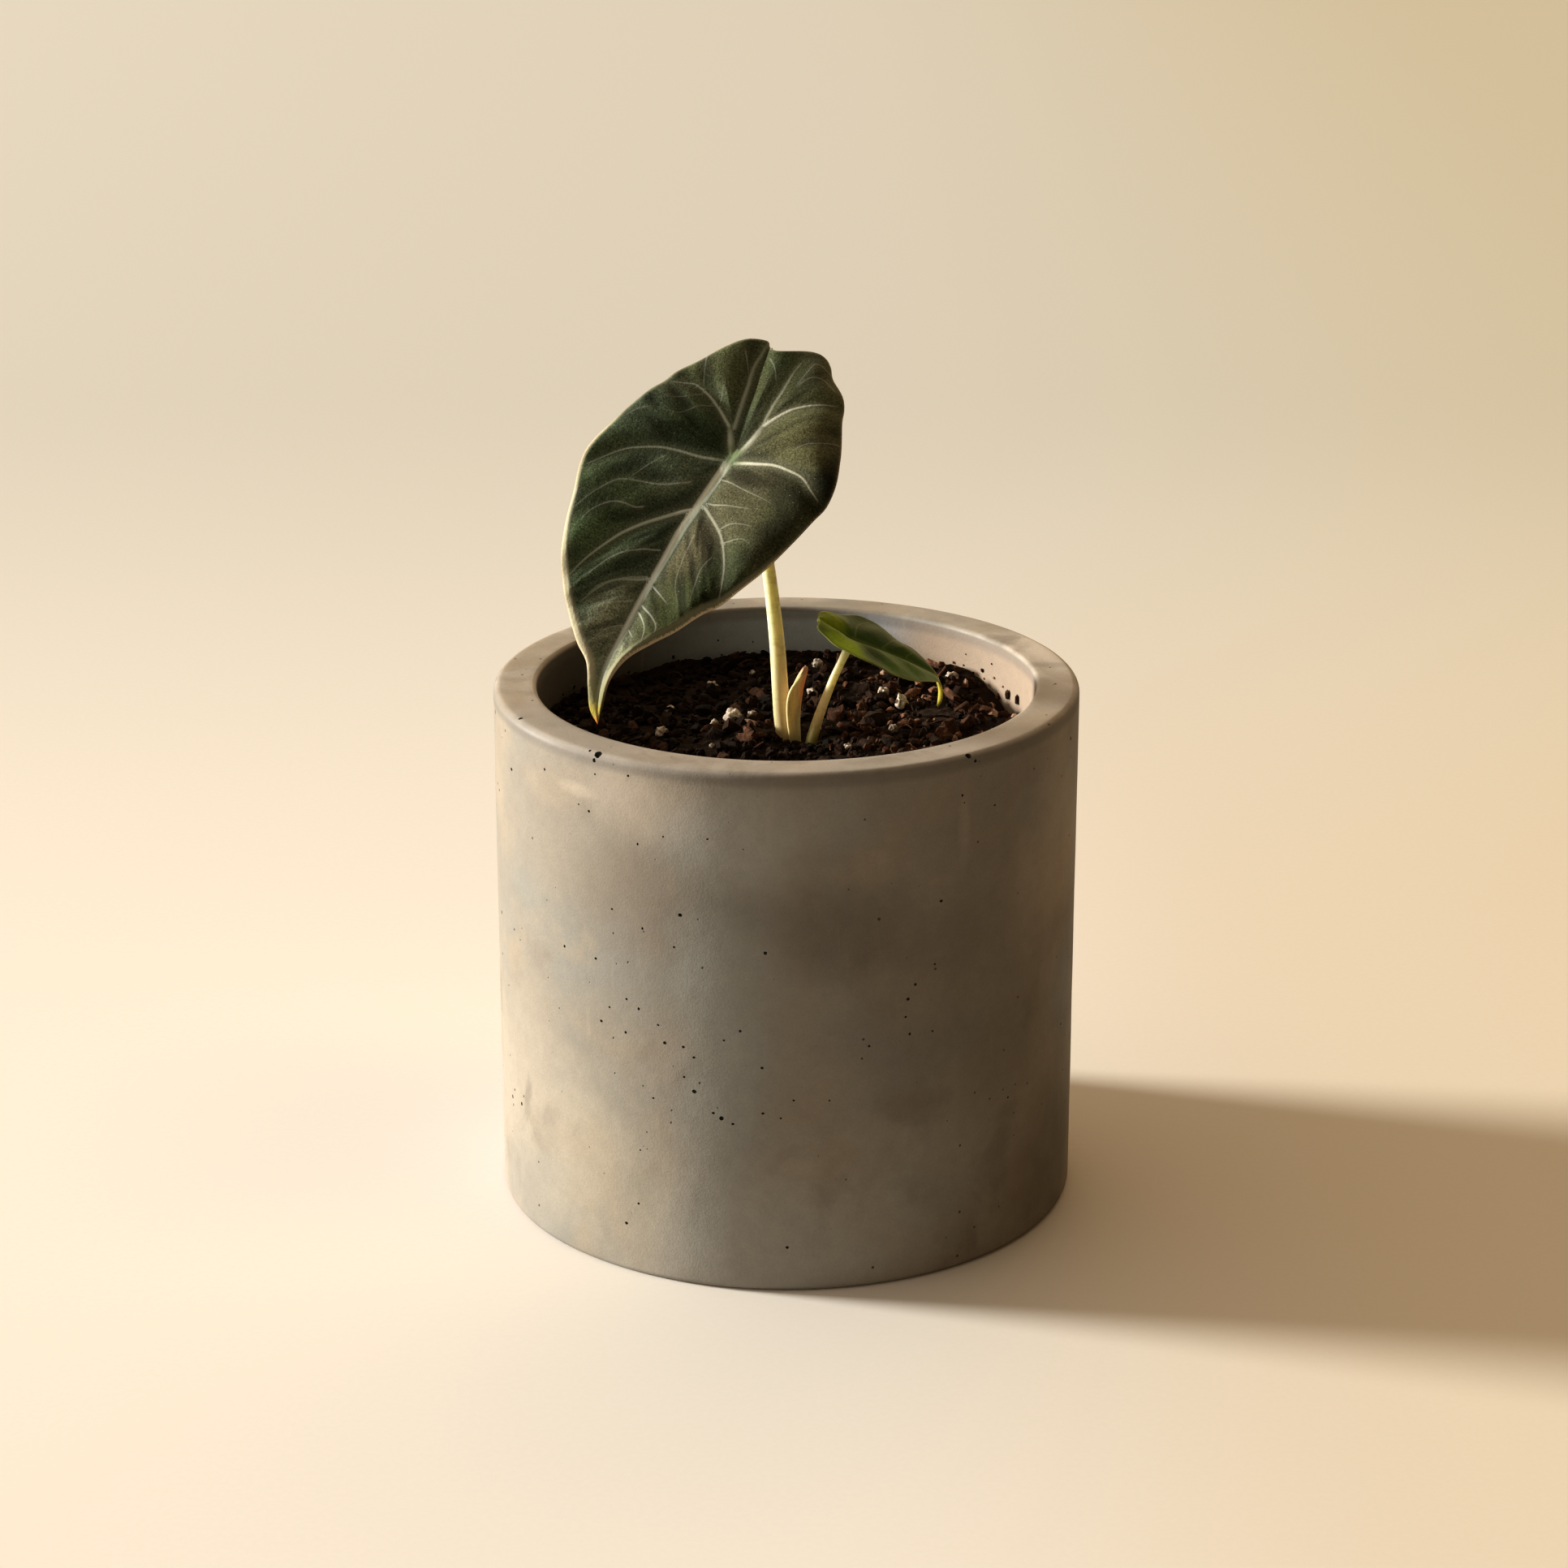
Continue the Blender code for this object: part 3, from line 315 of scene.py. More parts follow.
# A blade is drawn flat: across from the midrib towards the photograph's right, and along from the
# hub, where the stem joins it, to the tip. Each margin runs from the notch to the tip.
# A vein is its half width at its foot and at its end, how pale it is, and its points.
LARGE_BLADE = {
    "hub": (-9.1, 3.0, 129.2),
    "heading": -126.0,
    "droop": 43.7,
    "roll": -16.0,
    "midline": [
        (-5.2, -24), (-2.1, -12.6), (0, 0), (-1.2, 9.5), (-2.2, 18), (-2.8, 27), (-3.2, 36),
        (-3.7, 41.9), (-3.5, 45.3), (-2.3, 51.2),
    ],
    "left": [
        (-5.2, -24), (-6.6, -25.4), (-9.6, -24.2), (-12, -20.8), (-14.2, -16.7), (-16.9, -11.6),
        (-18.6, -5.5), (-20.9, 0.4), (-22.8, 5.8), (-23.2, 10.6), (-21.7, 15.8), (-20.5, 22),
        (-18, 28.6), (-14.6, 34.4), (-10, 40.1), (-6.9, 42.9), (-5.4, 46.4), (-4.2, 49.4), (-2.3, 51.2),
    ],
    "right": [
        (-5.2, -24), (-3.6, -23.5), (-1.9, -24.4), (0.2, -25.9), (2.6, -26.4), (4.7, -25.7),
        (6.4, -24.1), (8.1, -21.7), (12, -18.1), (14.4, -13.1), (18.4, -5), (20.8, 1.8), (19.9, 7.9),
        (17.6, 14.3), (15.3, 20.7), (12.5, 25.9), (7.9, 31.4), (3.1, 36.9), (0, 40.6), (-1.7, 44.2),
        (-2.1, 47.4), (-2.3, 51.2),
    ],
    # The valleys between the raised parts of the tissue.
    "valleys": [
        [(0, 0), (-1.2, 9.5), (-2.2, 18), (-2.8, 27), (-3.2, 36), (-3.7, 41.9), (-3.2, 47)],
        [(0, 0), (-1.5, -2.7), (-2.9, -5.2), (-7.5, -8.7), (-11.8, -10.7), (-17, -9.4)],
        [(-2.2, -5.5), (-3.1, -9.6), (-4.1, -14.1), (-5.2, -18.4), (-6.1, -24.6)],
        [(0, 0), (2.1, -3.6), (2.6, -6.7), (2.2, -11.1), (2.1, -15.6), (1.9, -23.8)],
        [(2.6, -6.7), (4.3, -9.7), (5.9, -11.9), (8.5, -13.9), (12.8, -16)],
        [(0, 0.5), (-4.9, 2), (-8.3, 2.4), (-11.5, 3), (-17.3, 5.8), (-22.3, 11.2)],
        [(0, 1), (5.5, 0.7), (8.8, 0.4), (12.3, 0.9), (14.9, 1.6), (19.9, 5.1)],
        [(-1.6, 11), (-6.1, 14.7), (-11, 20), (-14.2, 26.1), (-15.9, 31.1)],
        [(-1.2, 9.5), (1.7, 11.8), (6.3, 15.9), (9.7, 21.6), (11.4, 27.2)],
        [(-2.7, 25), (-8.5, 28.1), (-10.6, 30.9), (-12.3, 34.6)],
        [(-2.8, 26), (-0.4, 27.7), (2.2, 29.4), (4.1, 32.3)],
    ],
    "veins": [
        (0.66, 0.3, 1.0, [(0.2, -0.8), (-1.2, 9.5), (-2.1, 15.5), (-2.4, 21.3), (-2.8, 26.9),
            (-3.1, 32.6), (-3.3, 38.1), (-3.6, 42), (-3.4, 45.3), (-3.0, 49)]),
        (0.45, 0.3, 1.0, [(-0.1, -0.3), (-1.5, -2.7), (-2.9, -5.2)]),
        (0.22, 0.08, 0.75, [(-2.9, -5.2), (-7.5, -8.7), (-11.8, -10.7), (-13.9, -10.3), (-16.1, -9.6)]),
        (0.26, 0.2, 0.5, [(-2.2, -5.5), (-3.1, -9.6), (-4.1, -14.1), (-5.2, -18.4), (-5.5, -21.9),
            (-5.8, -24.5)]),
        (0.48, 0.34, 0.85, [(0.6, 0.4), (2.1, -3.6), (2.6, -6.7)]),
        (0.22, 0.1, 0.35, [(2.6, -6.7), (2.2, -11.1), (2.1, -15.6), (1.8, -20.4), (1.9, -23.5)]),
        (0.26, 0.09, 0.85, [(2.6, -6.7), (4.3, -9.7), (5.9, -11.9), (8.5, -13.9), (11.9, -15.7)]),
        (0.2, 0.08, 0.6, [(-1.1, 1), (-4.9, 2), (-8.3, 2.4), (-11.5, 3), (-14.5, 4.2),
            (-17.3, 5.8), (-19.7, 8.3), (-21.7, 10.7)]),
        (0.24, 0.09, 1.0, [(1.1, 1.1), (5.5, 0.7), (8.8, 0.4), (12.3, 0.9), (14.9, 1.6),
            (17, 3.1), (19, 4.5)]),
        (0.13, 0.1, 0.35, [(-4.3, 7.3), (-8.4, 9.6), (-12.4, 10.6), (-15.4, 11.7), (-17.3, 14.1),
            (-18.8, 16.6), (-20, 18.9)]),
        (0.24, 0.1, 0.85, [(-1.8, 11.2), (-3.3, 12.2), (-6.1, 14.7), (-8.5, 17), (-11, 20),
            (-12.9, 23.3), (-14.2, 26.1), (-15.1, 28.8), (-15.5, 30.3)]),
        (0.20, 0.08, 0.5, [(-1.3, 9.6), (-0.5, 10.1), (1.7, 11.8), (4.3, 13.9), (6.3, 15.9),
            (8.3, 18.9), (9.7, 21.6), (10.9, 24.9), (11.2, 26.7)]),
        (0.18, 0.1, 0.5, [(-2.9, 25.2), (-5, 26.4), (-8.5, 28.1), (-10.6, 30.9), (-11.9, 33.8)]),
        (0.13, 0.08, 0.32, [(-3.1, 26), (-0.4, 27.7), (2.2, 29.4)]),
        (0.12, 0.08, 0.3, [(-3.1, 29.7), (-1.5, 31), (1.3, 32.8), (3, 34.5), (3.2, 36.6)]),
        (0.1, 0.07, 0.28, [(-3.3, 34.5), (-2.1, 35.6), (-0.7, 36.8)]),
        (0.15, 0.12, 0.55, [(-21.1, 16), (-20.5, 20.1), (-19.1, 24.3), (-16.2, 29.7),
            (-14.1, 33.4), (-10.9, 37.8), (-8, 40.7)]),
        (0.1, 0.07, 0.3, [(0.2, 9.6), (1.9, 9.9), (5.5, 9.8), (9.1, 9.8)]),
        (0.1, 0.07, 0.3, [(0.2, 4.6), (1.4, 5), (6.5, 6.5), (9.6, 7.2), (11.8, 7.8)]),
        (0.1, 0.07, 0.25, [(5.1, 14), (6.6, 13.1), (8.8, 12.8), (10.8, 12.9)]),
        (0.1, 0.07, 0.25, [(6.7, 16.6), (8, 16.2), (10.3, 15.5), (12, 16.1)]),
        (0.11, 0.08, 0.35, [(-9.7, 14.5), (-10.9, 15.1), (-13.4, 15.3), (-15.2, 16.2),
            (-17.1, 18.4), (-18, 20.8)]),
        (0.11, 0.08, 0.4, [(-4, 20.3), (-7.2, 22), (-9.9, 24.2), (-11.6, 26.8), (-12.7, 29.7)]),
        (0.1, 0.07, 0.3, [(-3.9, 25.3), (-7, 26.9), (-9.3, 28.7), (-10.7, 30.3), (-11.5, 32.7)]),
        (0.1, 0.07, 0.3, [(-4.4, 30.4), (-5.7, 31.3), (-7.3, 32.3), (-8.5, 33.5), (-9.3, 35.3)]),
        (0.1, 0.07, 0.3, [(-4, 34.8), (-4.8, 35.3), (-6, 36.5), (-6.8, 38), (-7.5, 39.7)]),
        (0.1, 0.07, 0.25, [(-10.3, 4.4), (-12, 7.1), (-13.1, 9.2), (-14.3, 11.9)]),
        (0.1, 0.08, 0.25, [(-14.3, -19.1), (-13.6, -17.4), (-11.8, -13.2), (-10.7, -10.7)]),
        (0.1, 0.07, 0.25, [(-7.5, -12.2), (-6.8, -9.8), (-6.5, -8)]),
        (0.1, 0.07, 0.22, [(-9.9, -9.5), (-11.7, -7.7), (-14, -6.2), (-16.2, -6)]),
        (0.1, 0.07, 0.22, [(-7.3, -8), (-9.2, -6.5), (-11.3, -3.9), (-13.9, -3.2)]),
        (0.1, 0.07, 0.25, [(-16.7, -2.7), (-18.4, -1.4), (-19.8, 0.5)]),
        (0.1, 0.07, 0.3, [(-8.1, -21), (-6.8, -19.1), (-5.4, -16.9)]),
        (0.1, 0.07, 0.3, [(-3.5, -21.2), (-1.6, -19.4), (0, -16.9)]),
        (0.1, 0.07, 0.25, [(10.4, -18.5), (7.3, -20.1), (5.3, -19.6), (4.3, -17.2)]),
        (0.1, 0.07, 0.22, [(8.6, -21.7), (4.4, -23.4), (4, -20.5), (3.9, -17.2)]),
        (0.1, 0.07, 0.22, [(16.7, -7.6), (14.3, -5.9), (12.5, -4.9), (10.7, -2.4)]),
        (0.1, 0.08, 0.12, [(1.2, 16.4), (1.3, 19.3), (1.7, 22.5), (2.5, 26.1), (5.1, 30)]),
        (0.1, 0.07, 0.12, [(6.4, 20.1), (5.9, 22.4), (6.3, 25.5), (7.2, 29.1)]),
        (0.1, 0.08, 0.35, [(-3.3, 31.1), (-1.3, 32.6), (0.9, 35), (1.7, 37.9)]),
    ],
    "back_arch": 0.0075,
    "front_arch": 0.0011,
    "curl_from": 38.0,
    "curl_radius": 22.0,
    "body_from": -26.0,
    "body_to": 50.0,
    "body_fade": (14.0, 22.0),
    # The share of the fold that is left behind the hub, and where it changes.
    "back_fold": (0.35, -16.0, 2.0),
    # How far each half folds up at its margin, the power of that fold, its bulge between midrib
    # and margin, how far the margin falls back, and how near to the margin that stays.
    "left_half": (3.4, 0.9, 0.0, 0.6, 10),
    "right_half": (6.6, 0.8, 0.0, 3.0, 8),
    "wave": (0.45, 4.5),
    "quilt": (0.9, 2.3),
    # Height of the raised vein lines, reach and height of the tissue's side ridges, and how far
    # and how deep the very margin rolls down.
    "vein_rise": 0.42,
    "ridges": (2.4, 0.26),
    "rolled": (1.1, 0.35),
    "thickness": 0.62,
    "under_rib": (1.05, 1.3),
    "rows": 290,
    "columns": 82,
}
SMALL_BLADE = {
    "hub": (11.3, -2.0, 98.6),
    "heading": 25.4,
    "droop": 24.0,
    "roll": 25.5,
    "midline": [
        (3.0, -6.5), (1.2, -3.2), (0, 0), (0.2, 6), (0.2, 12), (0.3, 18), (0.2, 21), (-0.6, 24.6),
    ],
    "left": [
        (3.0, -6.5), (1.6, -7), (-0.2, -7.5), (-2.5, -6.2), (-4.2, -4.3), (-5.7, -1.5), (-6.9, 2.6),
        (-7.4, 6.7), (-6.4, 11), (-4.4, 14.8), (-2.6, 17.4), (-1.1, 19.2), (-0.9, 21), (-1, 23),
        (-0.6, 24.6),
    ],
    "right": [
        (3.0, -6.5), (4.8, -5.8), (5.7, -3.6), (6.3, -0.6), (7.2, 2.4), (7.2, 6), (6, 9.2), (4.7, 12.2),
        (4, 14.4), (2.6, 17), (1.3, 18.6), (0.9, 20.5), (0.4, 22.8), (-0.6, 24.6),
    ],
    "valleys": [
        [(0, 0), (0, 6), (0, 12), (0, 18)],
        [(0, 0), (-1.6, -2.6), (-3.2, -4.8)],
        [(0, 0), (1.6, -2.8), (3.4, -5.4)],
        [(0, 0), (-3.6, 1.6), (-6.2, 5.4)],
        [(0, 0), (3.6, 1.4), (6.4, 5)],
        [(0, 5.6), (-2.6, 8.6), (-4.2, 11.2)],
        [(0, 5.6), (2.8, 8.6), (4.6, 11)],
    ],
    "veins": [
        (0.3, 0.12, 0.8, [(0, -0.4), (0.1, 6), (0.2, 12), (0.3, 18), (0.1, 21)]),
        (0.14, 0.08, 0.5, [(0, 0), (-1.6, -2.6), (-3.2, -4.8)]),
        (0.14, 0.08, 0.5, [(0, 0), (1.6, -2.8), (3.4, -5.4)]),
        (0.12, 0.07, 0.5, [(0, 0), (-3.6, 1.6), (-6.2, 5.4)]),
        (0.12, 0.07, 0.5, [(0, 0), (3.6, 1.4), (6.4, 5)]),
        (0.12, 0.07, 0.45, [(0, 5.6), (-2.6, 8.6), (-4.2, 11.2)]),
        (0.12, 0.07, 0.45, [(0, 5.6), (2.8, 8.6), (4.6, 11)]),
        (0.09, 0.06, 0.35, [(0, 10.6), (-1.8, 12.8), (-2.8, 14.8)]),
        (0.09, 0.06, 0.35, [(0, 10.6), (1.8, 12.8), (2.9, 14.6)]),
    ],
    "back_arch": 0.006,
    "front_arch": 0.004,
    "curl_from": 17.4,
    "curl_radius": 4.9,
    "body_from": -8.5,
    "body_to": 20.0,
    "body_fade": (5.0, 9.0),
    "back_fold": (1.0, -16.0, 2.0),
    "left_half": (0.0, 1.0, 0.9, -0.9, 3),
    "right_half": (0.0, 1.0, 1.0, -0.5, 3),
    "wave": (0.25, 3.0),
    "quilt": (0.3, 1.6),
    "vein_rise": 0.08,
    "ridges": (1.6, 0.06),
    "rolled": (0.5, 0.12),
    "thickness": 0.5,
    "under_rib": (0.4, 0.9),
    "rows": 150,
    "columns": 34,
}
CURVE_STEPS = 24
BULGE_POWER = 0.75
BODY_POWERS = (0.5, 0.8)
# How much the columns crowd towards the margins, and where the ridges end there.
MARGIN_CROWDING = 0.35
RIDGE_END_SPAN = (1.0, 0.85)
# The ridges' slope at the hub. Further along the midrib they get steeper, and then flatter.
RIDGE_SLOPE = 0.25
STEEPER_RIDGES = 1.15
STEEPER_SPAN = (0, 10)
FLATTER_RIDGES = 0.5
FLATTER_SPAN = (14, 30)
RIDGE_FAN = 9
RIDGE_SIDES_APART = 40
# In ridges: the length of the coarse ones, and the number, length and height of the fine ones.
RIDGE_LENGTH = 3.2
FINE_RIDGES = 2.3
FINE_RIDGE_LENGTH = 2.0
FINE_RIDGE_RISE = 0.4
FOOT_SEARCH_STEPS = 20
FOOT_SEARCH_SHARE = 0.35
VALLEY_REACH = 1.6
# A vein fades towards its end. Its relief reaches this far in its half widths, and at least so far.
VEIN_FADING = 0.7
VEIN_REACH = 1.25
LEAST_VEIN_REACH = 0.3
FULL_VEIN_HALF = 0.45
VEIN_BODY = 1.6
UNDER_VEIN_SHARE = 0.5
# Below the blade the rib starts this far behind the hub, and runs out at this share of the length.
RIB_START = 3
RIB_END_SHARE = 1.15
EDGE_ROUND = 0.5
# A value for a point that is far from every vein.
FAR_FROM_VEINS = 9.0
# A blade's flat plan lies in its UV map at this many millimetres to one unit, middle to middle.
FLAT_SPAN = 100.0

# Concrete: its tones, its layers of clouds (scale, low, high, twist and colour) and its stains, a few of
# which are painted light and shade. A stain is its middle, its stretch, its radius, its strength and its
# colour.
CONCRETE_TONES = {
    "upper": (0.250, 0.218, 0.178),
    "lower": (0.33, 0.288, 0.235),
    "rim_front": (0.325, 0.29, 0.255),
    "rim_back": (0.58, 0.51, 0.43),
    "wall": (0.31, 0.235, 0.175),
    # Painted shade of the inner wall: cool blue-grey at the back, nearly black at the left.
    "wall_back_shade": (0.40, 0.46, 0.54),
    "wall_left_shade": (0.06, 0.05, 0.04),
    # Painted shade: a dark line just under the rim's rounded edge.
    "under_rim_shade": (0.12, 0.11, 0.10),
    "pore_shade": (0.035, 0.03, 0.025),
    "rubbed": (0.42, 0.37, 0.30),
    "pit_shade": (0.02, 0.017, 0.014),
}
CONCRETE_SPANS = {
    "lower": (0.060, 0.020),
    "rim": (0.0898, 0.0909),
    "rim_back": (-0.015, 0.03),
    "inside": (0.0431, 0.0427),
    "below_mouth": (0.0909, 0.0902),
    "wall_back_shade": (0.0, 0.03),
    "wall_left": (0.026, 0.012),
    "wall_left_shade": (0.0, -0.03),
    "under_rim_shade": (0.0882, 0.0896),
    "rim_edge": (0.0911, 0.0905),
}
CONCRETE_CLOUDS = [
    (24.0, 0.42, 0.68, 0.4, (0.225, 0.215, 0.190)),
    (44.0, 0.50, 0.72, 0.8, (0.285, 0.240, 0.185)),
    (80.0, 0.52, 0.75, 0.5, (0.215, 0.185, 0.150)),
]
CONCRETE_STAINS_AND_PAINTED_LIGHT = [
    ((-8, -49, 56), (1.5, 1, 0.4), 15, 0.7, (0.27, 0.275, 0.26)),
    ((-23, -44, 84), (0.7, 1, 1.5), 11, 0.7, (0.41, 0.35, 0.285)),
    ((-9, -49, 80), (0.9, 1, 1.1), 12, 0.75, (0.37, 0.37, 0.345)),
    ((3, -50, 83), (0.8, 1, 1.6), 10, 0.4, (0.33, 0.315, 0.28)),
    # Painted shade: this stain and the next darken the right front, where the light leaves it.
    ((29, -41, 59), (1, 1, 1), 10, 0.4, (0.16, 0.13, 0.095)),
    ((20, -46, 47), (1, 1, 0.9), 13, 0.35, (0.18, 0.15, 0.115)),
    # Painted highlight: the light thrown back on the far right edge.
    ((46, -18, 68), (0.6, 0.8, 0.6), 13, 0.6, (0.46, 0.37, 0.28)),
    ((44, -22, 12), (0.7, 0.8, 0.7), 12, 0.5, (0.15, 0.125, 0.09)),
    ((0, -50, 2), (0.35, 1, 1.8), 16, 0.45, (0.42, 0.40, 0.36)),
    ((-26, -43, 67), (0.8, 1, 1.3), 14, 0.6, (0.20, 0.165, 0.13)),
    ((-7, -49, 67), (0.9, 1, 2.0), 10, 0.5, (0.20, 0.19, 0.17)),
    ((10, -49, 64), (0.8, 1, 1.2), 12, 0.65, (0.145, 0.125, 0.10)),
    ((6, -50, 50), (1, 1, 1.2), 8, 0.45, (0.28, 0.255, 0.215)),
    # Painted shade on the right front.
    ((35, -36, 37), (0.8, 1, 0.9), 14, 0.45, (0.16, 0.135, 0.095)),
    ((25, -43, 16), (0.8, 1, 1), 13, 0.5, (0.31, 0.30, 0.265)),
    ((-11, -48, 38), (1.6, 1, 0.3), 14, 0.55, (0.33, 0.34, 0.325)),
    ((-4, -50, 9), (0.6, 1, 1.1), 14, 0.6, (0.38, 0.375, 0.345)),
    ((-32, -38, 17), (0.8, 1, 0.8), 15, 0.45, (0.41, 0.355, 0.275)),
    ((29, -41, 79), (3, 3, 0.5), 4, 0.3, (0.40, 0.36, 0.29)),
    ((-34, -37, 84), (0.8, 0.8, 2.6), 4, 0.4, (0.50, 0.43, 0.34)),
    ((-38, -32, 82), (0.7, 1, 2.2), 8, 0.3, (0.36, 0.28, 0.20)),
    ((45, 8, 91), (0.5, 1.6, 1), 3.0, 0.35, (0.14, 0.13, 0.12)),
    ((0, 50, 40), (0.8, 1, 1.1), 16, 0.45, (0.17, 0.15, 0.12)),
    ((-30, 38, 66), (1.0, 1, 0.8), 12, 0.4, (0.33, 0.27, 0.2)),
    ((36, 32, 60), (1.0, 1, 0.8), 12, 0.4, (0.22, 0.22, 0.18)),
]
# The mix's colour by a piece's tint, from black through red-brown to tan.
SOIL_TINTS = [
    (0.0, (0.004, 0.0025, 0.0015)),
    (0.45, (0.018, 0.009, 0.005)),
    (0.72, (0.070, 0.030, 0.016)),
    (0.90, (0.20, 0.095, 0.055)),
    (1.0, (0.42, 0.27, 0.19)),
]
PERLITE_TONES = {"foam": (0.62, 0.53, 0.44), "dust": (0.13, 0.082, 0.052), "pore_shade": (0.22, 0.17, 0.13)}
ROOTSTOCK_TONES = {"light": (0.33, 0.21, 0.12), "dark": (0.13, 0.075, 0.04)}
STEM_MARK_TONE = (0.33, 0.33, 0.10)
SHEATH_TONES = {
    "pale": (0.66, 0.60, 0.33),
    "dry": (0.76, 0.32, 0.14),
    "foot": (0.50, 0.47, 0.19),
    "inner": (0.52, 0.37, 0.19),
    "ribs": (0.26, 0.13, 0.06),
    "tip": (0.30, 0.11, 0.05),
}
# The large blade. Its browner right half is a painted sheen, and its stains, which lie on its flat plan, are
# mostly painted light and shade. A tip band is its span along the blade, its strength and its colour.
LARGE_BLADE_TONES = {
    "left": (0.042, 0.060, 0.036),
    "right": (0.039, 0.040, 0.020),
    "back": (0.060, 0.068, 0.030),
    "dots": (0.30, 0.29, 0.20),
    "halo": (0.17, 0.18, 0.125),
    "veins_left": (0.50, 0.57, 0.48),
    "veins_right": (0.62, 0.62, 0.50),
    "hub": (0.18, 0.24, 0.13),
    "rib_lit": (0.82, 0.86, 0.74),
    "rib_lit_front": (0.87, 0.90, 0.85),
    "rib_shaded": (0.52, 0.60, 0.52),
    "margin_left": (0.44, 0.40, 0.27),
    "margin_right": (0.21, 0.215, 0.13),
    "edge_left": (0.62, 0.52, 0.36),
    "edge_right": (0.80, 0.64, 0.42),
    "under": (0.20, 0.165, 0.085),
    "under_veins": (0.42, 0.37, 0.22),
    "under_margin": (0.24, 0.19, 0.10),
    "sheen": (0.95, 0.88, 0.66),
}
LARGE_TIP_BANDS = [
    ((43.0, 48.0), 0.7, (0.20, 0.21, 0.09)),
    ((47.5, 49.5), 1.0, (0.46, 0.39, 0.08)),
    ((49.8, 51.0), 1.0, (0.62, 0.24, 0.06)),
]
LARGE_BLADE_LIGHT_AND_SHADE = [
    ((-6.5, -1.5), (0.9, 1.4), 7, 0.75, (0.020, 0.036, 0.012)),
    ((-17, 8), (1.0, 1.0), 8, 0.45, (0.030, 0.042, 0.014)),
    ((-11.6, 14.3), (1.0, 0.8), 6, 0.4, (0.030, 0.042, 0.016)),
    ((-5, 8), (1.0, 0.8), 6, 0.5, (0.060, 0.070, 0.045)),
    ((-18, 22), (0.9, 0.6), 8, 0.5, (0.036, 0.060, 0.018)),
    ((-5.5, 36.5), (1.0, 0.6), 6, 0.75, (0.17, 0.18, 0.12)),
    ((7.5, 7.5), (0.9, 0.8), 8, 0.4, (0.046, 0.041, 0.022)),
    ((12, -5), (1.0, 1.0), 6, 0.5, (0.085, 0.085, 0.036)),
    ((15.5, 9), (1.0, 0.7), 6, 0.5, (0.026, 0.032, 0.013)),
    ((20, 1), (1.6, 0.7), 6, 0.85, (0.009, 0.011, 0.004)),
    ((6, 29), (1.2, 0.8), 10, 0.95, (0.005, 0.009, 0.002)),
    ((11, 21), (1.4, 0.9), 6, 0.5, (0.018, 0.030, 0.010)),
    ((3.7, -18.3), (1.2, 1.0), 5, 0.6, (0.028, 0.036, 0.011)),
    ((-1.6, -21.5), (1.5, 1.0), 4, 0.6, (0.024, 0.045, 0.010)),
    ((1.8, 19), (1.3, 0.6), 6, 0.6, (0.056, 0.047, 0.026)),
    ((2.5, 31.5), (1.0, 0.8), 7, 0.8, (0.022, 0.027, 0.007)),
]
# The small blade: its left half is painted lighter, where the light falls on it, and its stains are painted
# light and shade.
SMALL_BLADE_TONES = {
    "left": (0.066, 0.165, 0.010),
    "right": (0.045, 0.108, 0.012),
    "veins": (0.27, 0.36, 0.10),
    "margin": (0.30, 0.30, 0.10),
    "under": (0.10, 0.14, 0.04),
    "under_veins": (0.26, 0.30, 0.10),
    "under_tip": (0.50, 0.42, 0.06),
}
SMALL_TIP_BANDS = [((17.0, 20.0), 1.0, (0.40, 0.37, 0.04)), ((19.0, 20.8), 1.0, (1.0, 0.92, 0.02))]
SMALL_BLADE_LIGHT_AND_SHADE = [
    ((-4.5, -3.5), (1.0, 1.0), 5, 0.9, (0.46, 0.74, 0.022)),
    ((3.0, -4.5), (1.0, 1.0), 4, 0.75, (0.36, 0.50, 0.02)),
    ((-3.5, 2.5), (1.3, 1.4), 4, 0.8, (0.026, 0.062, 0.008)),
    ((3.2, 12), (1.2, 0.7), 5, 0.5, (0.070, 0.118, 0.018)),
    ((1.6, 5), (1.6, 0.6), 4, 0.4, (0.055, 0.090, 0.040)),
]
# On a mesh's "under" value, where the upper face's colour gives way to the lower face's.
UNDER_SPAN = (0.45, 0.75)


# Helpers for operators and meshes


def deselect_all():
    bpy.ops.object.select_all(action="DESELECT")


def take_up(obj):
    """Makes obj the only selected object, and the active one."""
    deselect_all()
    obj.select_set(True)
    bpy.context.view_layer.objects.active = obj


def name_piece(name):
    """Names the object that an operator has just added, and its mesh."""
    obj = bpy.context.object
    obj.name = name
    obj.data.name = name
    return obj


def link_piece(name, data):
    obj = bpy.data.objects.new(name, data)
    bpy.context.scene.collection.objects.link(obj)
    return obj


def piece_from(name, points, faces):
    mesh = bpy.data.meshes.new(name)
    mesh.from_pydata(points, [], faces)
    return link_piece(name, mesh)


def pick(obj, kind, test):
    """In edit mode, selects the edges or faces of obj whose corners' places pass the test."""
    bpy.ops.object.mode_set(mode="OBJECT")
    mesh = obj.data
    for group in (mesh.vertices, mesh.edges, mesh.polygons):
        group.foreach_set("select", [False] * len(group))
    for part in mesh.edges if kind == "EDGE" else mesh.polygons:
        part.select = test([mesh.vertices[k].co for k in part.vertices])
    bpy.ops.object.mode_set(mode="EDIT")
    bpy.ops.mesh.select_mode(type=kind)


def on_ring(radius, height):
    """A test for edges on a level ring round the middle."""

    def test(corners):
        return all(
            abs(math.hypot(place.x, place.y) - radius) < NEAR and abs(place.z - height) < NEAR
            for place in corners
        )

    return test


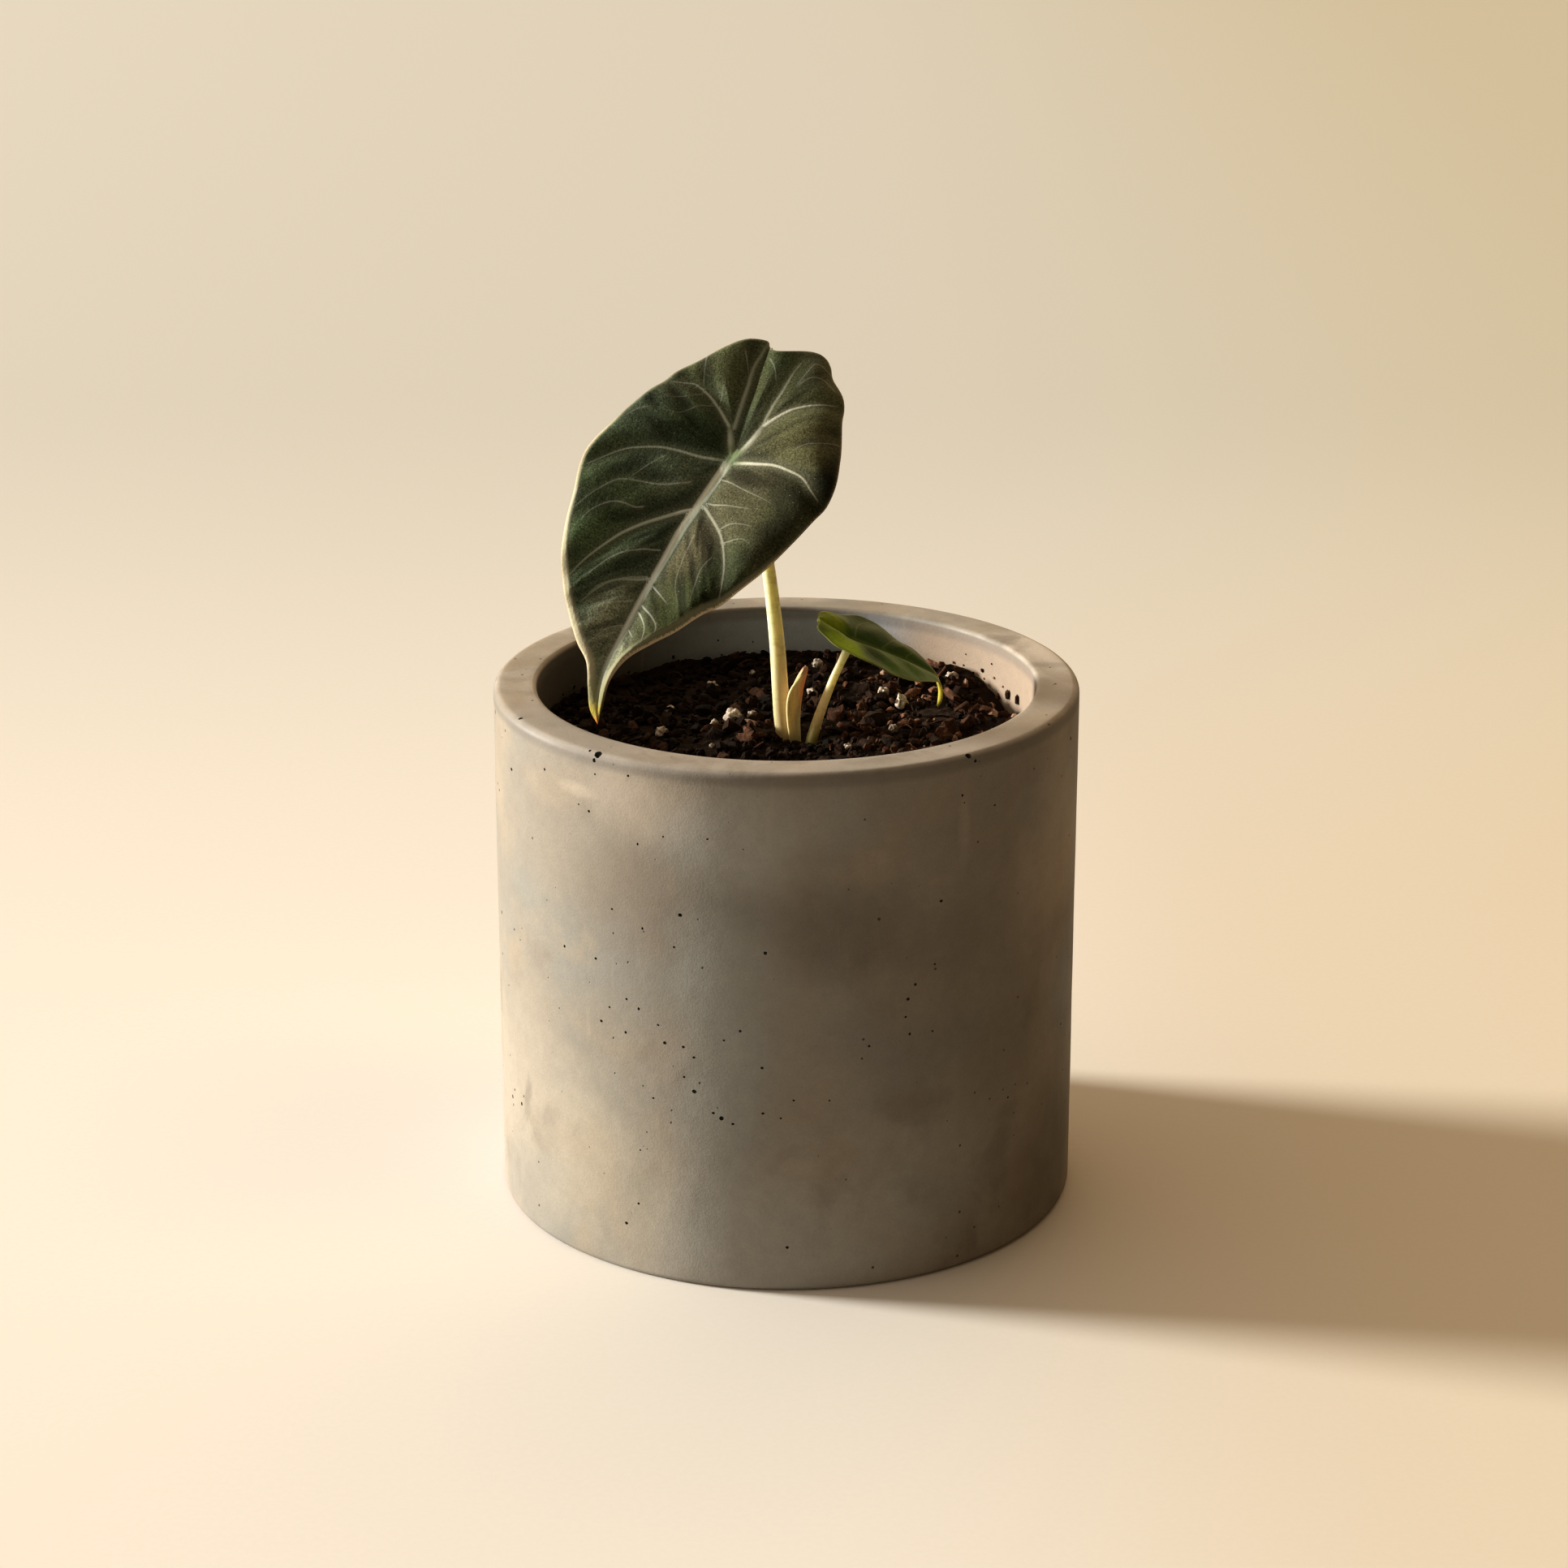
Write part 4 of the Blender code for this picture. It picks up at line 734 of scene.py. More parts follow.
def cut_long_edges(obj, length, cuts):
    """Divides the edges that are longer than a length, all round, into rings."""
    pick(obj, "EDGE", lambda ends: (ends[0] - ends[1]).length > length)
    bpy.ops.mesh.subdivide(number_cuts=cuts)
    bpy.ops.object.mode_set(mode="OBJECT")


def bevel_picked(width, steps):
    bpy.ops.mesh.bevel(offset=width, segments=steps, profile=0.5, affect="EDGES")


def face_outwards(obj):
    """Turns all faces of a closed mesh to look out of it."""
    take_up(obj)
    bpy.ops.object.mode_set(mode="EDIT")
    bpy.ops.mesh.select_all(action="SELECT")
    bpy.ops.mesh.normals_make_consistent(inside=False)
    bpy.ops.object.mode_set(mode="OBJECT")


def apply_modifiers(obj):
    take_up(obj)
    for change in list(obj.modifiers):
        bpy.ops.object.modifier_apply(modifier=change.name)


def combine(obj, operation, tool):
    """Applies a Boolean of obj with a tool, and removes the tool."""
    change = obj.modifiers.new("combine", "BOOLEAN")
    change.operation = operation
    change.solver = "MANIFOLD"
    change.object = tool
    apply_modifiers(obj)
    bpy.data.objects.remove(tool)


def settle(obj):
    """Puts the object's place, turn and scale into its mesh."""
    take_up(obj)
    bpy.ops.object.transform_apply(location=True, rotation=True, scale=True)


def smooth(obj, sharp_angle):
    take_up(obj)
    bpy.ops.object.shade_smooth()
    obj.data.set_sharp_from_angle(angle=math.radians(sharp_angle))


def points_of(mesh):
    places = np.empty(len(mesh.vertices) * 3)
    mesh.vertices.foreach_get("co", places)
    return places.reshape(-1, 3)


def move_points(mesh, places):
    mesh.vertices.foreach_set("co", np.asarray(places, float).ravel())
    mesh.update()


def store(mesh, name, values):
    """Keeps one number a point on the mesh, for its material."""
    attribute = mesh.attributes.new(name, "FLOAT", "POINT")
    attribute.data.foreach_set("value", np.asarray(values, np.float32).ravel())


def finish_piece(obj, slot, material, *replaced):
    """Gives a piece its material, ties it to the pot's body and hides the parts that it replaces."""
    obj.data.materials.clear()
    obj.data.materials.append(material)
    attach(obj, "root")
    if replaced:
        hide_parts(*replaced)


def smooth_curve(points, count):
    """count points, evenly spaced along a smooth curve through the given ones."""
    knots = np.asarray(points, float)
    knots = np.vstack([2 * knots[0] - knots[1], knots, 2 * knots[-1] - knots[-2]])
    u = np.linspace(0, 1, CURVE_STEPS, endpoint=False)[:, None]
    fine = []
    for a, b, c, d in zip(knots, knots[1:], knots[2:], knots[3:]):
        bend = (2 * a - 5 * b + 4 * c - d) * u**2 + (3 * b - a - 3 * c + d) * u**3
        fine.append(b + 0.5 * ((c - a) * u + bend))
    fine = np.vstack([*fine, knots[-2][None]])
    run = np.concatenate([[0], np.cumsum(np.linalg.norm(np.diff(fine, axis=0), axis=1))])
    stops = np.linspace(0, run[-1], count)
    return np.column_stack([np.interp(stops, run, fine[:, k]) for k in range(fine.shape[1])])


def ease(low, high, values):
    """0 below low and 1 above high, with a soft change between. low may be the higher one."""
    share = np.clip((np.asarray(values, float) - low) / (high - low), 0, 1)
    return share * share * (3 - 2 * share)


def seen_at(pixel_x, pixel_y, obj):
    """Where the camera's line through a pixel of the photograph meets a mesh, and the normal."""
    reach = CAMERA_SENSOR / CAMERA_LENS
    across, down = pixel_x / FRAME_PIXELS - 0.5, pixel_y / FRAME_PIXELS - 0.5
    way = Vector((across * reach, -down * reach, -1.0))
    way.rotate(Euler((math.radians(CAMERA_TILT), 0, 0)))
    found, place, normal, _ = obj.ray_cast(Vector(CAMERA_PLACE), way.normalized())
    return (place, normal) if found else (None, None)


# Helpers for materials


def add_node(tree, kind, inputs=None, **settings):
    """Adds a node, with its settings and its inputs."""
    made = tree.nodes.new("ShaderNode" + kind)
    for key, value in settings.items():
        setattr(made, key, value)
    fill_inputs(tree, made, inputs or {})
    return made


def fill_inputs(tree, node, inputs):
    """Gives a node its inputs: each is a value or a linked socket."""
    for key, value in inputs.items():
        if isinstance(value, bpy.types.NodeSocket):
            tree.links.new(value, node.inputs[key])
        else:
            node.inputs[key].default_value = value


def maths(tree, operation, a, b=0.0, c=0.0, clamp=False):
    made = add_node(tree, "Math", {0: a, 1: b, 2: c}, operation=operation, use_clamp=clamp)
    return made.outputs[0]


def times(tree, *factors):
    """The product of two or more numbers."""
    product = factors[0]
    for factor in factors[1:]:
        product = maths(tree, "MULTIPLY", product, factor)
    return product


def vector_maths(tree, operation, a, b=(0.0, 0.0, 0.0)):
    made = add_node(tree, "VectorMath", {0: a, 1: b}, operation=operation)
    return made.outputs["Value" if operation == "LENGTH" else "Vector"]


def scaled(tree, vector, scale):
    """A vector times another, given as three numbers."""
    return vector_maths(tree, "MULTIPLY", vector, scale)


def parts_of(tree, vector):
    return add_node(tree, "SeparateXYZ", {0: vector}).outputs


def own_place(tree):
    """A point's place on its own object."""
    return add_node(tree, "TexCoord").outputs["Object"]


def attribute(tree, name):
    return add_node(tree, "Attribute", attribute_name=name, attribute_type="GEOMETRY").outputs["Fac"]


def spread(tree, value, low, high, to_low=0.0, to_high=1.0, kind="SMOOTHSTEP"):
    """Maps low to high onto to_low to to_high, held at both ends."""
    inputs = {"Value": value, "From Min": low, "From Max": high, "To Min": to_low, "To Max": to_high}
    made = add_node(tree, "MapRange", inputs, interpolation_type=kind, clamp=True)
    return made.outputs["Result"]


def noise_value(tree, vector, scale, detail=3.0, roughness=0.5, distortion=0.0):
    inputs = {"Vector": vector, "Scale": scale, "Detail": detail}
    inputs.update({"Roughness": roughness, "Distortion": distortion})
    return add_node(tree, "TexNoise", inputs).outputs["Fac"]


def blend(tree, share, a, b, kind="MIX"):
    """Mixes two colours."""
    a, b = (value if isinstance(value, bpy.types.NodeSocket) else (*value, 1.0) for value in (a, b))
    return add_node(tree, "Mix", {0: share, 6: a, 7: b}, data_type="RGBA", blend_type=kind).outputs[2]


def tinted(tree, share, colour, tint):
    """A colour multiplied by another one, by a share from 0 to 1."""
    return blend(tree, share, colour, blend(tree, 1.0, colour, tint, "MULTIPLY"))


def shade(tree, colour, *factors):
    """A colour times one or more numbers."""
    factor = times(tree, *factors)
    grey = add_node(tree, "CombineXYZ", {0: factor, 1: factor, 2: factor}).outputs[0]
    return blend(tree, 1.0, colour, grey, "MULTIPLY")


def start_group(name, inputs, output_names):
    """An empty node group. inputs maps each name to its value, a number or three numbers."""
    group = bpy.data.node_groups.new(name, "ShaderNodeTree")
    for key, value in inputs.items():
        kind = "NodeSocketFloat" if isinstance(value, (int, float)) else "NodeSocketVector"
        group.interface.new_socket(key, in_out="INPUT", socket_type=kind).default_value = value
    for key in output_names:
        group.interface.new_socket(key, in_out="OUTPUT", socket_type="NodeSocketFloat")
    return group, group.nodes.new("NodeGroupInput").outputs, group.nodes.new("NodeGroupOutput")


def use_group(tree, name, **inputs):
    """Adds one of the node groups made below, and gives its outputs."""
    return add_node(tree, "Group", inputs, node_tree=bpy.data.node_groups[name]).outputs


def start_material(name):
    material = bpy.data.materials.new(name)
    material.use_nodes = True
    tree = material.node_tree
    return material, tree, tree.nodes["Principled BSDF"]


def set_surface(tree, shader, colour, roughness, specular, more=None):
    """Gives the shader its colour, roughness and shine, and more inputs where there are any."""
    inputs = {"Base Color": colour, "Roughness": roughness, "Specular IOR Level": specular}
    fill_inputs(tree, shader, {**inputs, **(more or {})})


def translucency(weight, scale, radius):
    """The shader's inputs for light that passes into thin or fleshy tissue."""
    return {"Subsurface Weight": weight, "Subsurface Scale": scale, "Subsurface Radius": radius}


def relief(tree, shader, height, depth, below=None):
    """Bump from a height from 0 to 1, depth deep, on top of another bump's normal if given."""
    inputs = {"Height": height, "Strength": 1.0, "Distance": depth}
    if below:
        inputs["Normal"] = below
    normal = add_node(tree, "Bump", inputs).outputs["Normal"]
    tree.links.new(normal, shader.inputs["Normal"])
    return normal


# Node groups


def make_soft_spot():
    """A stain with an uneven soft edge: 1 in its middle and 0 outside."""
    inputs = {"Vector": (0, 0, 0), "Centre": (0, 0, 0), "Squash": (1, 1, 1)}
    inputs.update({"Radius": 0.01, "Unevenness": 0.4, "Grain": 120.0})
    group, given, result = start_group("soft_spot", inputs, ["Mask"])
    away = vector_maths(group, "SUBTRACT", given["Vector"], given["Centre"])
    away = vector_maths(group, "LENGTH", scaled(group, away, given["Squash"]))
    share = maths(group, "DIVIDE", away, given["Radius"])
    rough = noise_value(group, given["Vector"], given["Grain"], 4.0, 0.6)
    rough = times(group, maths(group, "SUBTRACT", rough, 0.5), given["Unevenness"])
    share = maths(group, "MULTIPLY_ADD", rough, 2.0, share)
    fill_inputs(group, result, {"Mask": spread(group, share, 1.25, 0.25)})


def make_blotches():
    """Soft clouds of a second tone, with finer clouds inside them."""
    inputs = {"Vector": (0, 0, 0), "Scale": 40.0, "Low": 0.4, "High": 0.65, "Twist": 0.3}
    group, given, result = start_group("blotches", inputs, ["Mask"])
    cloud = noise_value(group, given["Vector"], given["Scale"], 5.0, 0.55, given["Twist"])
    fill_inputs(group, result, {"Mask": spread(group, cloud, given["Low"], given["High"])})


def make_fine_grain():
    """Fine uneven grain: a number round 1 to multiply a colour by, and a height for relief."""
    inputs = {"Vector": (0, 0, 0), "Scale": 2000.0, "Contrast": 0.2}
    group, given, result = start_group("fine_grain", inputs, ["Shade", "Height"])
    grain = noise_value(group, given["Vector"], given["Scale"], 2.0, 0.6)
    factor = maths(group, "MULTIPLY_ADD", maths(group, "SUBTRACT", grain, 0.5), given["Contrast"], 1.0)
    fill_inputs(group, result, {"Shade": factor, "Height": grain})


def make_pores():
    """Scattered round pin holes: 1 in a hole."""
    inputs = {"Vector": (0, 0, 0), "Scale": 300.0, "Size": 0.1, "Share": 0.4}
    group, given, result = start_group("pores", inputs, ["Mask"])
    cells = add_node(group, "TexVoronoi", {"Vector": given["Vector"], "Scale": given["Scale"]})
    dice = add_node(group, "SeparateColor", {"Color": cells.outputs["Color"]}).outputs
    there = maths(group, "LESS_THAN", dice["Red"], given["Share"])
    size = times(group, given["Size"], maths(group, "ADD", dice["Green"], 0.4))
    hole = spread(group, maths(group, "DIVIDE", cells.outputs["Distance"], size), 1.1, 0.7)
    fill_inputs(group, result, {"Mask": times(group, hole, there)})


def make_vein_lines():
    """The pale lines of a blade's veins, from what its mesh keeps of the nearest one."""
    group, given, result = start_group("vein_lines", {"Line": 0.0, "Edge": 0.0, "Pale": 0.0}, ["Mask"])
    line = spread(group, maths(group, "ABSOLUTE", given["Line"]), 2.3, 0.2)
    near = spread(group, given["Edge"], 0.42, 0.16)
    fill_inputs(group, result, {"Mask": times(group, line, near, given["Pale"])})


# Materials


def add_stains_and_painted_light(tree, vector, colour, patches, unit, unevenness, grain):
    """Lays soft stains, and patches of painted light and shade, over a colour. Those of a flat plan have two
    numbers for a middle.
    """
    for centre, squash, radius, strength, tone in patches:
        spot = use_group(
            tree,
            "soft_spot",
            Vector=vector,
            Centre=Vector((*centre, 0)[:3]) * unit,
            Squash=(*squash, 1)[:3],
            Radius=radius * unit,
            Unevenness=unevenness,
            Grain=grain,
        )
        colour = blend(tree, times(tree, spot["Mask"], strength), colour, tone)
    return colour


def concrete_material():
    """Cast concrete: clouded greys and browns, fine grain, pin holes and a few rubbed marks. Shade is
    painted in the pits, the pin holes, under the rim and on the inner wall, and some stains are painted
    light and shade.
    """
    material, tree, shader = start_material("cast_concrete")
    tones, spans = CONCRETE_TONES, CONCRETE_SPANS
    place = own_place(tree)
    x, y, z = parts_of(tree, place)
    colour = blend(tree, spread(tree, z, *spans["lower"]), tones["upper"], tones["lower"])
    rim = blend(tree, spread(tree, y, *spans["rim_back"]), tones["rim_front"], tones["rim_back"])
    colour = blend(tree, spread(tree, z, *spans["rim"]), colour, rim)
    for number, (scale, low, high, twist, tone) in enumerate(CONCRETE_CLOUDS):
        shifted = vector_maths(tree, "ADD", place, (number * 0.3, 0.1, 0.7))
        cloud = use_group(tree, "blotches", Vector=shifted, Scale=scale, Low=low, High=high, Twist=twist)
        colour = blend(tree, cloud["Mask"], colour, tone)
    colour = add_stains_and_painted_light(tree, place, colour, CONCRETE_STAINS_AND_PAINTED_LIGHT, MM, 0.55, 70.0)
    # Inside, the wall is painted shade: cool blue-grey at the back and nearly black at the left.
    from_axis = vector_maths(tree, "LENGTH", scaled(tree, place, (1.0, 1.0, 0.0)))
    inside = spread(tree, from_axis, *spans["inside"])
    inside = times(tree, inside, spread(tree, z, *spans["below_mouth"]))
    grey = times(tree, spread(tree, y, *spans["wall_back_shade"]), spread(tree, x, *spans["wall_left"]))
    wall = blend(tree, grey, tones["wall"], tones["wall_back_shade"])
    left_shade = times(tree, spread(tree, x, *spans["wall_left_shade"]), 0.92)
    colour = blend(tree, inside, colour, blend(tree, left_shade, wall, tones["wall_left_shade"]))
    fine = use_group(tree, "fine_grain", Vector=place, Scale=420.0, Contrast=0.20)
    grain = use_group(tree, "fine_grain", Vector=place, Scale=2600.0, Contrast=0.30)
    colour = shade(tree, colour, fine["Shade"], grain["Shade"])
    # Painted shade: a dark blue-grey line just under the rim's rounded edge.
    under_rim_shade = times(tree, spread(tree, z, *spans["under_rim_shade"]), spread(tree, z, *spans["rim_edge"]), 0.5)
    colour = blend(tree, under_rim_shade, colour, tones["under_rim_shade"])
    # Painted shade: the pin holes are painted dark.
    pores = use_group(tree, "pores", Vector=place, Scale=420.0, Size=0.085, Share=0.32)["Mask"]
    colour = blend(tree, times(tree, pores, 0.9), colour, tones["pore_shade"])
    rubbed = noise_value(tree, scaled(tree, place, (1.0, 1.0, 0.12)), 260.0, 2.0)
    rubbed = times(tree, spread(tree, rubbed, 0.68, 0.78), 0.22)
    colour = blend(tree, rubbed, colour, tones["rubbed"])
    # Painted shade inside the pits.
    colour = blend(tree, spread(tree, attribute(tree, "pit_shade"), 0.1, 0.5), colour, tones["pit_shade"])
    rough = spread(tree, noise_value(tree, place, 60.0), 0.3, 0.7, 0.52, 0.72)
    set_surface(tree, shader, colour, rough, 0.35)
    soft = relief(tree, shader, noise_value(tree, place, 170.0), 0.10 * MM)
    grains = relief(tree, shader, grain["Height"], 0.028 * MM, soft)
    relief(tree, shader, maths(tree, "SUBTRACT", 1.0, pores), 0.12 * MM, grains)
    return material


def soil_material():
    """Dark potting mix. Each loose piece keeps its own tint."""
    material, tree, shader = start_material("potting_mix")
    place = own_place(tree)
    cloud = use_group(tree, "blotches", Vector=place, Scale=700.0, Low=0.35, High=0.7, Twist=0.5)["Mask"]
    cloud = maths(tree, "SUBTRACT", cloud, 0.5)
    tint = maths(tree, "MULTIPLY_ADD", cloud, 0.22, attribute(tree, "tint"), clamp=True)
    ramp = add_node(tree, "ValToRGB", {"Fac": tint})
    elements = ramp.color_ramp.elements
    for number, (stop, tone) in enumerate(SOIL_TINTS):
        element = elements[number] if number < 2 else elements.new(stop)
        element.position = stop
        element.color = (*tone, 1.0)
    grain = use_group(tree, "fine_grain", Vector=place, Scale=3000.0, Contrast=0.9)
    set_surface(tree, shader, shade(tree, ramp.outputs["Color"], grain["Shade"]), 0.9, 0.06)
    lumps = relief(tree, shader, noise_value(tree, place, 900.0, 4.0, 0.6), 0.35 * MM)
    relief(tree, shader, grain["Height"], 0.08 * MM, lumps)
    return material


def perlite_material():
    """Expanded white grains, foamy and a little dusted with the mix."""
    material, tree, shader = start_material("perlite_foam")
    tones = PERLITE_TONES
    place = own_place(tree)
    dust = use_group(tree, "blotches", Vector=place, Scale=620.0, Low=0.42, High=0.62, Twist=0.4)["Mask"]
    colour = blend(tree, times(tree, dust, 0.85), tones["foam"], tones["dust"])
    # Painted shade: the foam's pores are painted dark.
    pores = use_group(tree, "pores", Vector=place, Scale=2600.0, Size=0.36, Share=0.6)["Mask"]
    colour = blend(tree, times(tree, pores, 0.6), colour, tones["pore_shade"])
    grain = use_group(tree, "fine_grain", Vector=place, Scale=4000.0, Contrast=0.3)
    set_surface(tree, shader, shade(tree, colour, grain["Shade"]), 0.75, 0.4)
    foam = relief(tree, shader, noise_value(tree, place, 1500.0), 0.18 * MM)
    relief(tree, shader, maths(tree, "SUBTRACT", 1.0, pores), 0.08 * MM, foam)
    return material


def rootstock_material():
    """The fibrous brown base that both leaves grow from."""
    material, tree, shader = start_material("rootstock_bark")
    place = own_place(tree)
    rings = noise_value(tree, scaled(tree, place, (1.0, 1.0, 5.0)), 240.0, 4.0, 0.6)
    colour = blend(tree, spread(tree, rings, 0.35, 0.68), ROOTSTOCK_TONES["light"], ROOTSTOCK_TONES["dark"])
    grain = use_group(tree, "fine_grain", Vector=place, Scale=2200.0, Contrast=0.5)
    set_surface(tree, shader, shade(tree, colour, grain["Shade"]), 0.8, 0.5)
    relief(tree, shader, rings, 0.3 * MM)
    return material


def stem_material(name, stem):
    """A pale fleshy stem: its colour changes from foot to top, with faint cross mottling."""
    material, tree, shader = start_material(name)
    place = own_place(tree)
    height = parts_of(tree, place)[2]
    foot_tone, middle_tone, top_tone = stem["tones"]
    low, high = stem["tone_heights"]
    middle = 0.5 * (low + high)
    colour = blend(tree, spread(tree, height, low, middle), foot_tone, middle_tone)
    colour = blend(tree, spread(tree, height, middle, high), colour, top_tone)
    long_place = scaled(tree, place, (0.8, 0.8, 2.6))
    marks = use_group(tree, "blotches", Vector=long_place, Scale=420.0, Low=0.48, High=0.68, Twist=0.3)
    colour = blend(tree, times(tree, marks["Mask"], 0.32), colour, STEM_MARK_TONE)
    streaks = noise_value(tree, scaled(tree, place, (1.0, 1.0, 0.08)), 2600.0, 2.0)
    streaks = spread(tree, streaks, 0.3, 0.7, 0.96, 1.03)
    grain = use_group(tree, "fine_grain", Vector=place, Scale=4200.0, Contrast=0.14)
    colour = shade(tree, colour, streaks, grain["Shade"])
    set_surface(tree, shader, colour, 0.42, 0.4, translucency(0.85, 2.0 * MM, (1.0, 0.9, 0.6)))
    relief(tree, shader, streaks, 0.05 * MM)
    return material


def sheath_material():
    """A drying leaf sheath: pale at its foot and left side, orange-brown on its right side."""
    material, tree, shader = start_material("dry_sheath")
    tones = SHEATH_TONES
    place = own_place(tree)
    rise = attribute(tree, "rise")
    outer = spread(tree, attribute(tree, "outer"), 0.3, 0.7)
    ribs = noise_value(tree, scaled(tree, place, (1.0, 1.0, 0.07)), 3200.0, 2.0)
    dry = spread(tree, maths(tree, "ADD", rise, attribute(tree, "turn")), 0.10, 0.45)
    dry = times(tree, dry, spread(tree, rise, 0.35, 0.65))
    colour = blend(tree, dry, tones["pale"], tones["dry"])
    colour = blend(tree, spread(tree, rise, 0.45, 0.1), colour, tones["foot"])
    colour = blend(tree, outer, tones["inner"], colour)
    colour = blend(tree, times(tree, spread(tree, ribs, 0.5, 0.72), 0.3), colour, tones["ribs"])
    colour = blend(tree, spread(tree, rise, 0.93, 1.0), colour, tones["tip"])
    grain = use_group(tree, "fine_grain", Vector=place, Scale=2400.0, Contrast=0.3)
    colour = shade(tree, colour, grain["Shade"])
    set_surface(tree, shader, colour, 0.6, 0.3, translucency(0.6, 0.8 * MM, (1.0, 0.9, 0.65)))
    relief(tree, shader, ribs, 0.10 * MM)
    return material


def flat_plan(tree):
    """A blade's own flat plan in millimetres: the vector, and its across and along parts."""
    plan = add_node(tree, "UVMap", uv_map="flat_plan").outputs["UV"]
    plan = vector_maths(tree, "SUBTRACT", plan, (0.5, 0.5, 0.0))
    plan = scaled(tree, plan, (FLAT_SPAN, FLAT_SPAN, 0.0))
    across, along, _ = parts_of(tree, plan)
    return plan, across, along


def vein_lines(tree):
    """The pale lines of a blade's veins."""
    line, edge, pale = (attribute(tree, name) for name in ("vein", "vein_edge", "pale"))
    return use_group(tree, "vein_lines", Line=line, Edge=edge, Pale=pale)["Mask"]


def add_bands(tree, along, colour, bands):
    """Lays the tip's colours over a blade's colour, one after the other."""
    for span, strength, tone in bands:
        colour = blend(tree, times(tree, spread(tree, along, *span), strength), colour, tone)
    return colour


def large_blade_material():
    """Deep green velvet with silvery veins and a cream margin, painted browner right of the midrib as a
    sheen, with painted light and shade over it.
    """
    material, tree, shader = start_material("velvet_leaf")
    tones = LARGE_BLADE_TONES
    plan, across, along = flat_plan(tree)
    # Painted sheen: right of the midrib the velvet is painted browner, as the low light grazes it.
    side = spread(tree, maths(tree, "MULTIPLY_ADD", along, 0.07, across), -3.0, 3.0)
    colour = blend(tree, side, tones["left"], tones["right"])
    colour = blend(tree, times(tree, spread(tree, along, -4.0, -14.0), 0.75), colour, tones["back"])
    # Painted light and shade, laid in soft patches on the flat plan.
    colour = add_stains_and_painted_light(tree, plan, colour, LARGE_BLADE_LIGHT_AND_SHADE, 1.0, 0.35, 0.25)
    # Painted light and shade: the crests of the tissue are painted paler than its hollows, and the velvet's
    # nap lies along them.
    colour = shade(tree, colour, spread(tree, attribute(tree, "crest"), -0.35, 0.4, 0.62, 1.6))
    velvet = use_group(tree, "fine_grain", Vector=plan, Scale=3.2, Contrast=3.3)
    nap = use_group(tree, "fine_grain", Vector=plan, Scale=1.4, Contrast=1.3)
    across_ridges = times(tree, attribute(tree, "ridge_count"), 3.6)
    along_ridges = times(tree, attribute(tree, "ridge_run"), 0.9)
    lay = add_node(tree, "CombineXYZ", {0: across_ridges, 1: along_ridges}).outputs[0]
    lay = use_group(tree, "fine_grain", Vector=lay, Scale=1.0, Contrast=0.75)
    colour = shade(tree, colour, velvet["Shade"], times(tree, nap["Shade"], lay["Shade"]))
    dots = use_group(tree, "pores", Vector=plan, Scale=1.6, Size=0.13, Share=0.4)["Mask"]
    colour = blend(tree, times(tree, dots, 0.45), colour, tones["dots"])

    # The veins lie in a paler halo. Near the hub they are green.
    halo = maths(tree, "POWER", spread(tree, attribute(tree, "vein_edge"), 2.2, 0.0), 1.8)
    halo = times(tree, halo, attribute(tree, "pale"), velvet["Shade"], 0.42)
    colour = blend(tree, halo, colour, tones["halo"])
    lines = vein_lines(tree)
    pale = blend(tree, side, tones["veins_left"], tones["veins_right"])
    pale = blend(tree, spread(tree, vector_maths(tree, "LENGTH", plan), 4.0, 1.0), pale, tones["hub"])
    # The midrib is painted lit, cream, on its left side and painted shaded, grey-green, on its right.
    near_midrib = spread(tree, maths(tree, "ABSOLUTE", maths(tree, "ADD", across, 2.0)), 2.8, 1.8)
    near_midrib = times(tree, near_midrib, spread(tree, along, 0.0, 4.0))
    lit_rib = blend(tree, spread(tree, along, 12.0, 24.0), tones["rib_lit"], tones["rib_lit_front"])
    rib = blend(tree, spread(tree, attribute(tree, "vein"), -0.5, 0.4), tones["rib_shaded"], lit_rib)
    pale = blend(tree, near_midrib, pale, rib)
    colour = blend(tree, times(tree, lines, 0.92), colour, pale)

    # The margin is a pale band with a fine cream line at its very edge, fainter behind. The band is painted
    # paler at the left, where the light catches it, and the line paler at the right, where it lies in shade.
    uneven = times(tree, maths(tree, "SUBTRACT", velvet["Height"], 0.5), 0.5)
    rim = maths(tree, "ADD", attribute(tree, "rim"), uneven)
    left = spread(tree, across, 2.0, -6.0)
    wide = maths(tree, "MULTIPLY_ADD", spread(tree, along, 12.0, 40.0), 0.75, 0.65)
    wide = times(tree, wide, spread(tree, left, 0.0, 1.0, 0.75, 1.0))
    from_along = spread(tree, left, 0.0, 1.0, 12.0, -2.0)
    forward = spread(tree, maths(tree, "SUBTRACT", along, from_along), 0.0, 9.0, 0.1, 0.75)
    band = times(tree, spread(tree, maths(tree, "DIVIDE", rim, wide), 1.35, 0.5), forward)
    colour = blend(tree, band, colour, blend(tree, left, tones["margin_right"], tones["margin_left"]))
    edge_line = maths(tree, "DIVIDE", rim, spread(tree, left, 0.0, 1.0, 0.6, 1.0))
    edge_share = maths(tree, "MULTIPLY_ADD", forward, 0.9, 0.15)
    edge_line = times(tree, spread(tree, edge_line, 0.42, 0.12), edge_share)
    colour = blend(tree, edge_line, colour, blend(tree, left, tones["edge_right"], tones["edge_left"]))
    colour = add_bands(tree, along, colour, LARGE_TIP_BANDS)

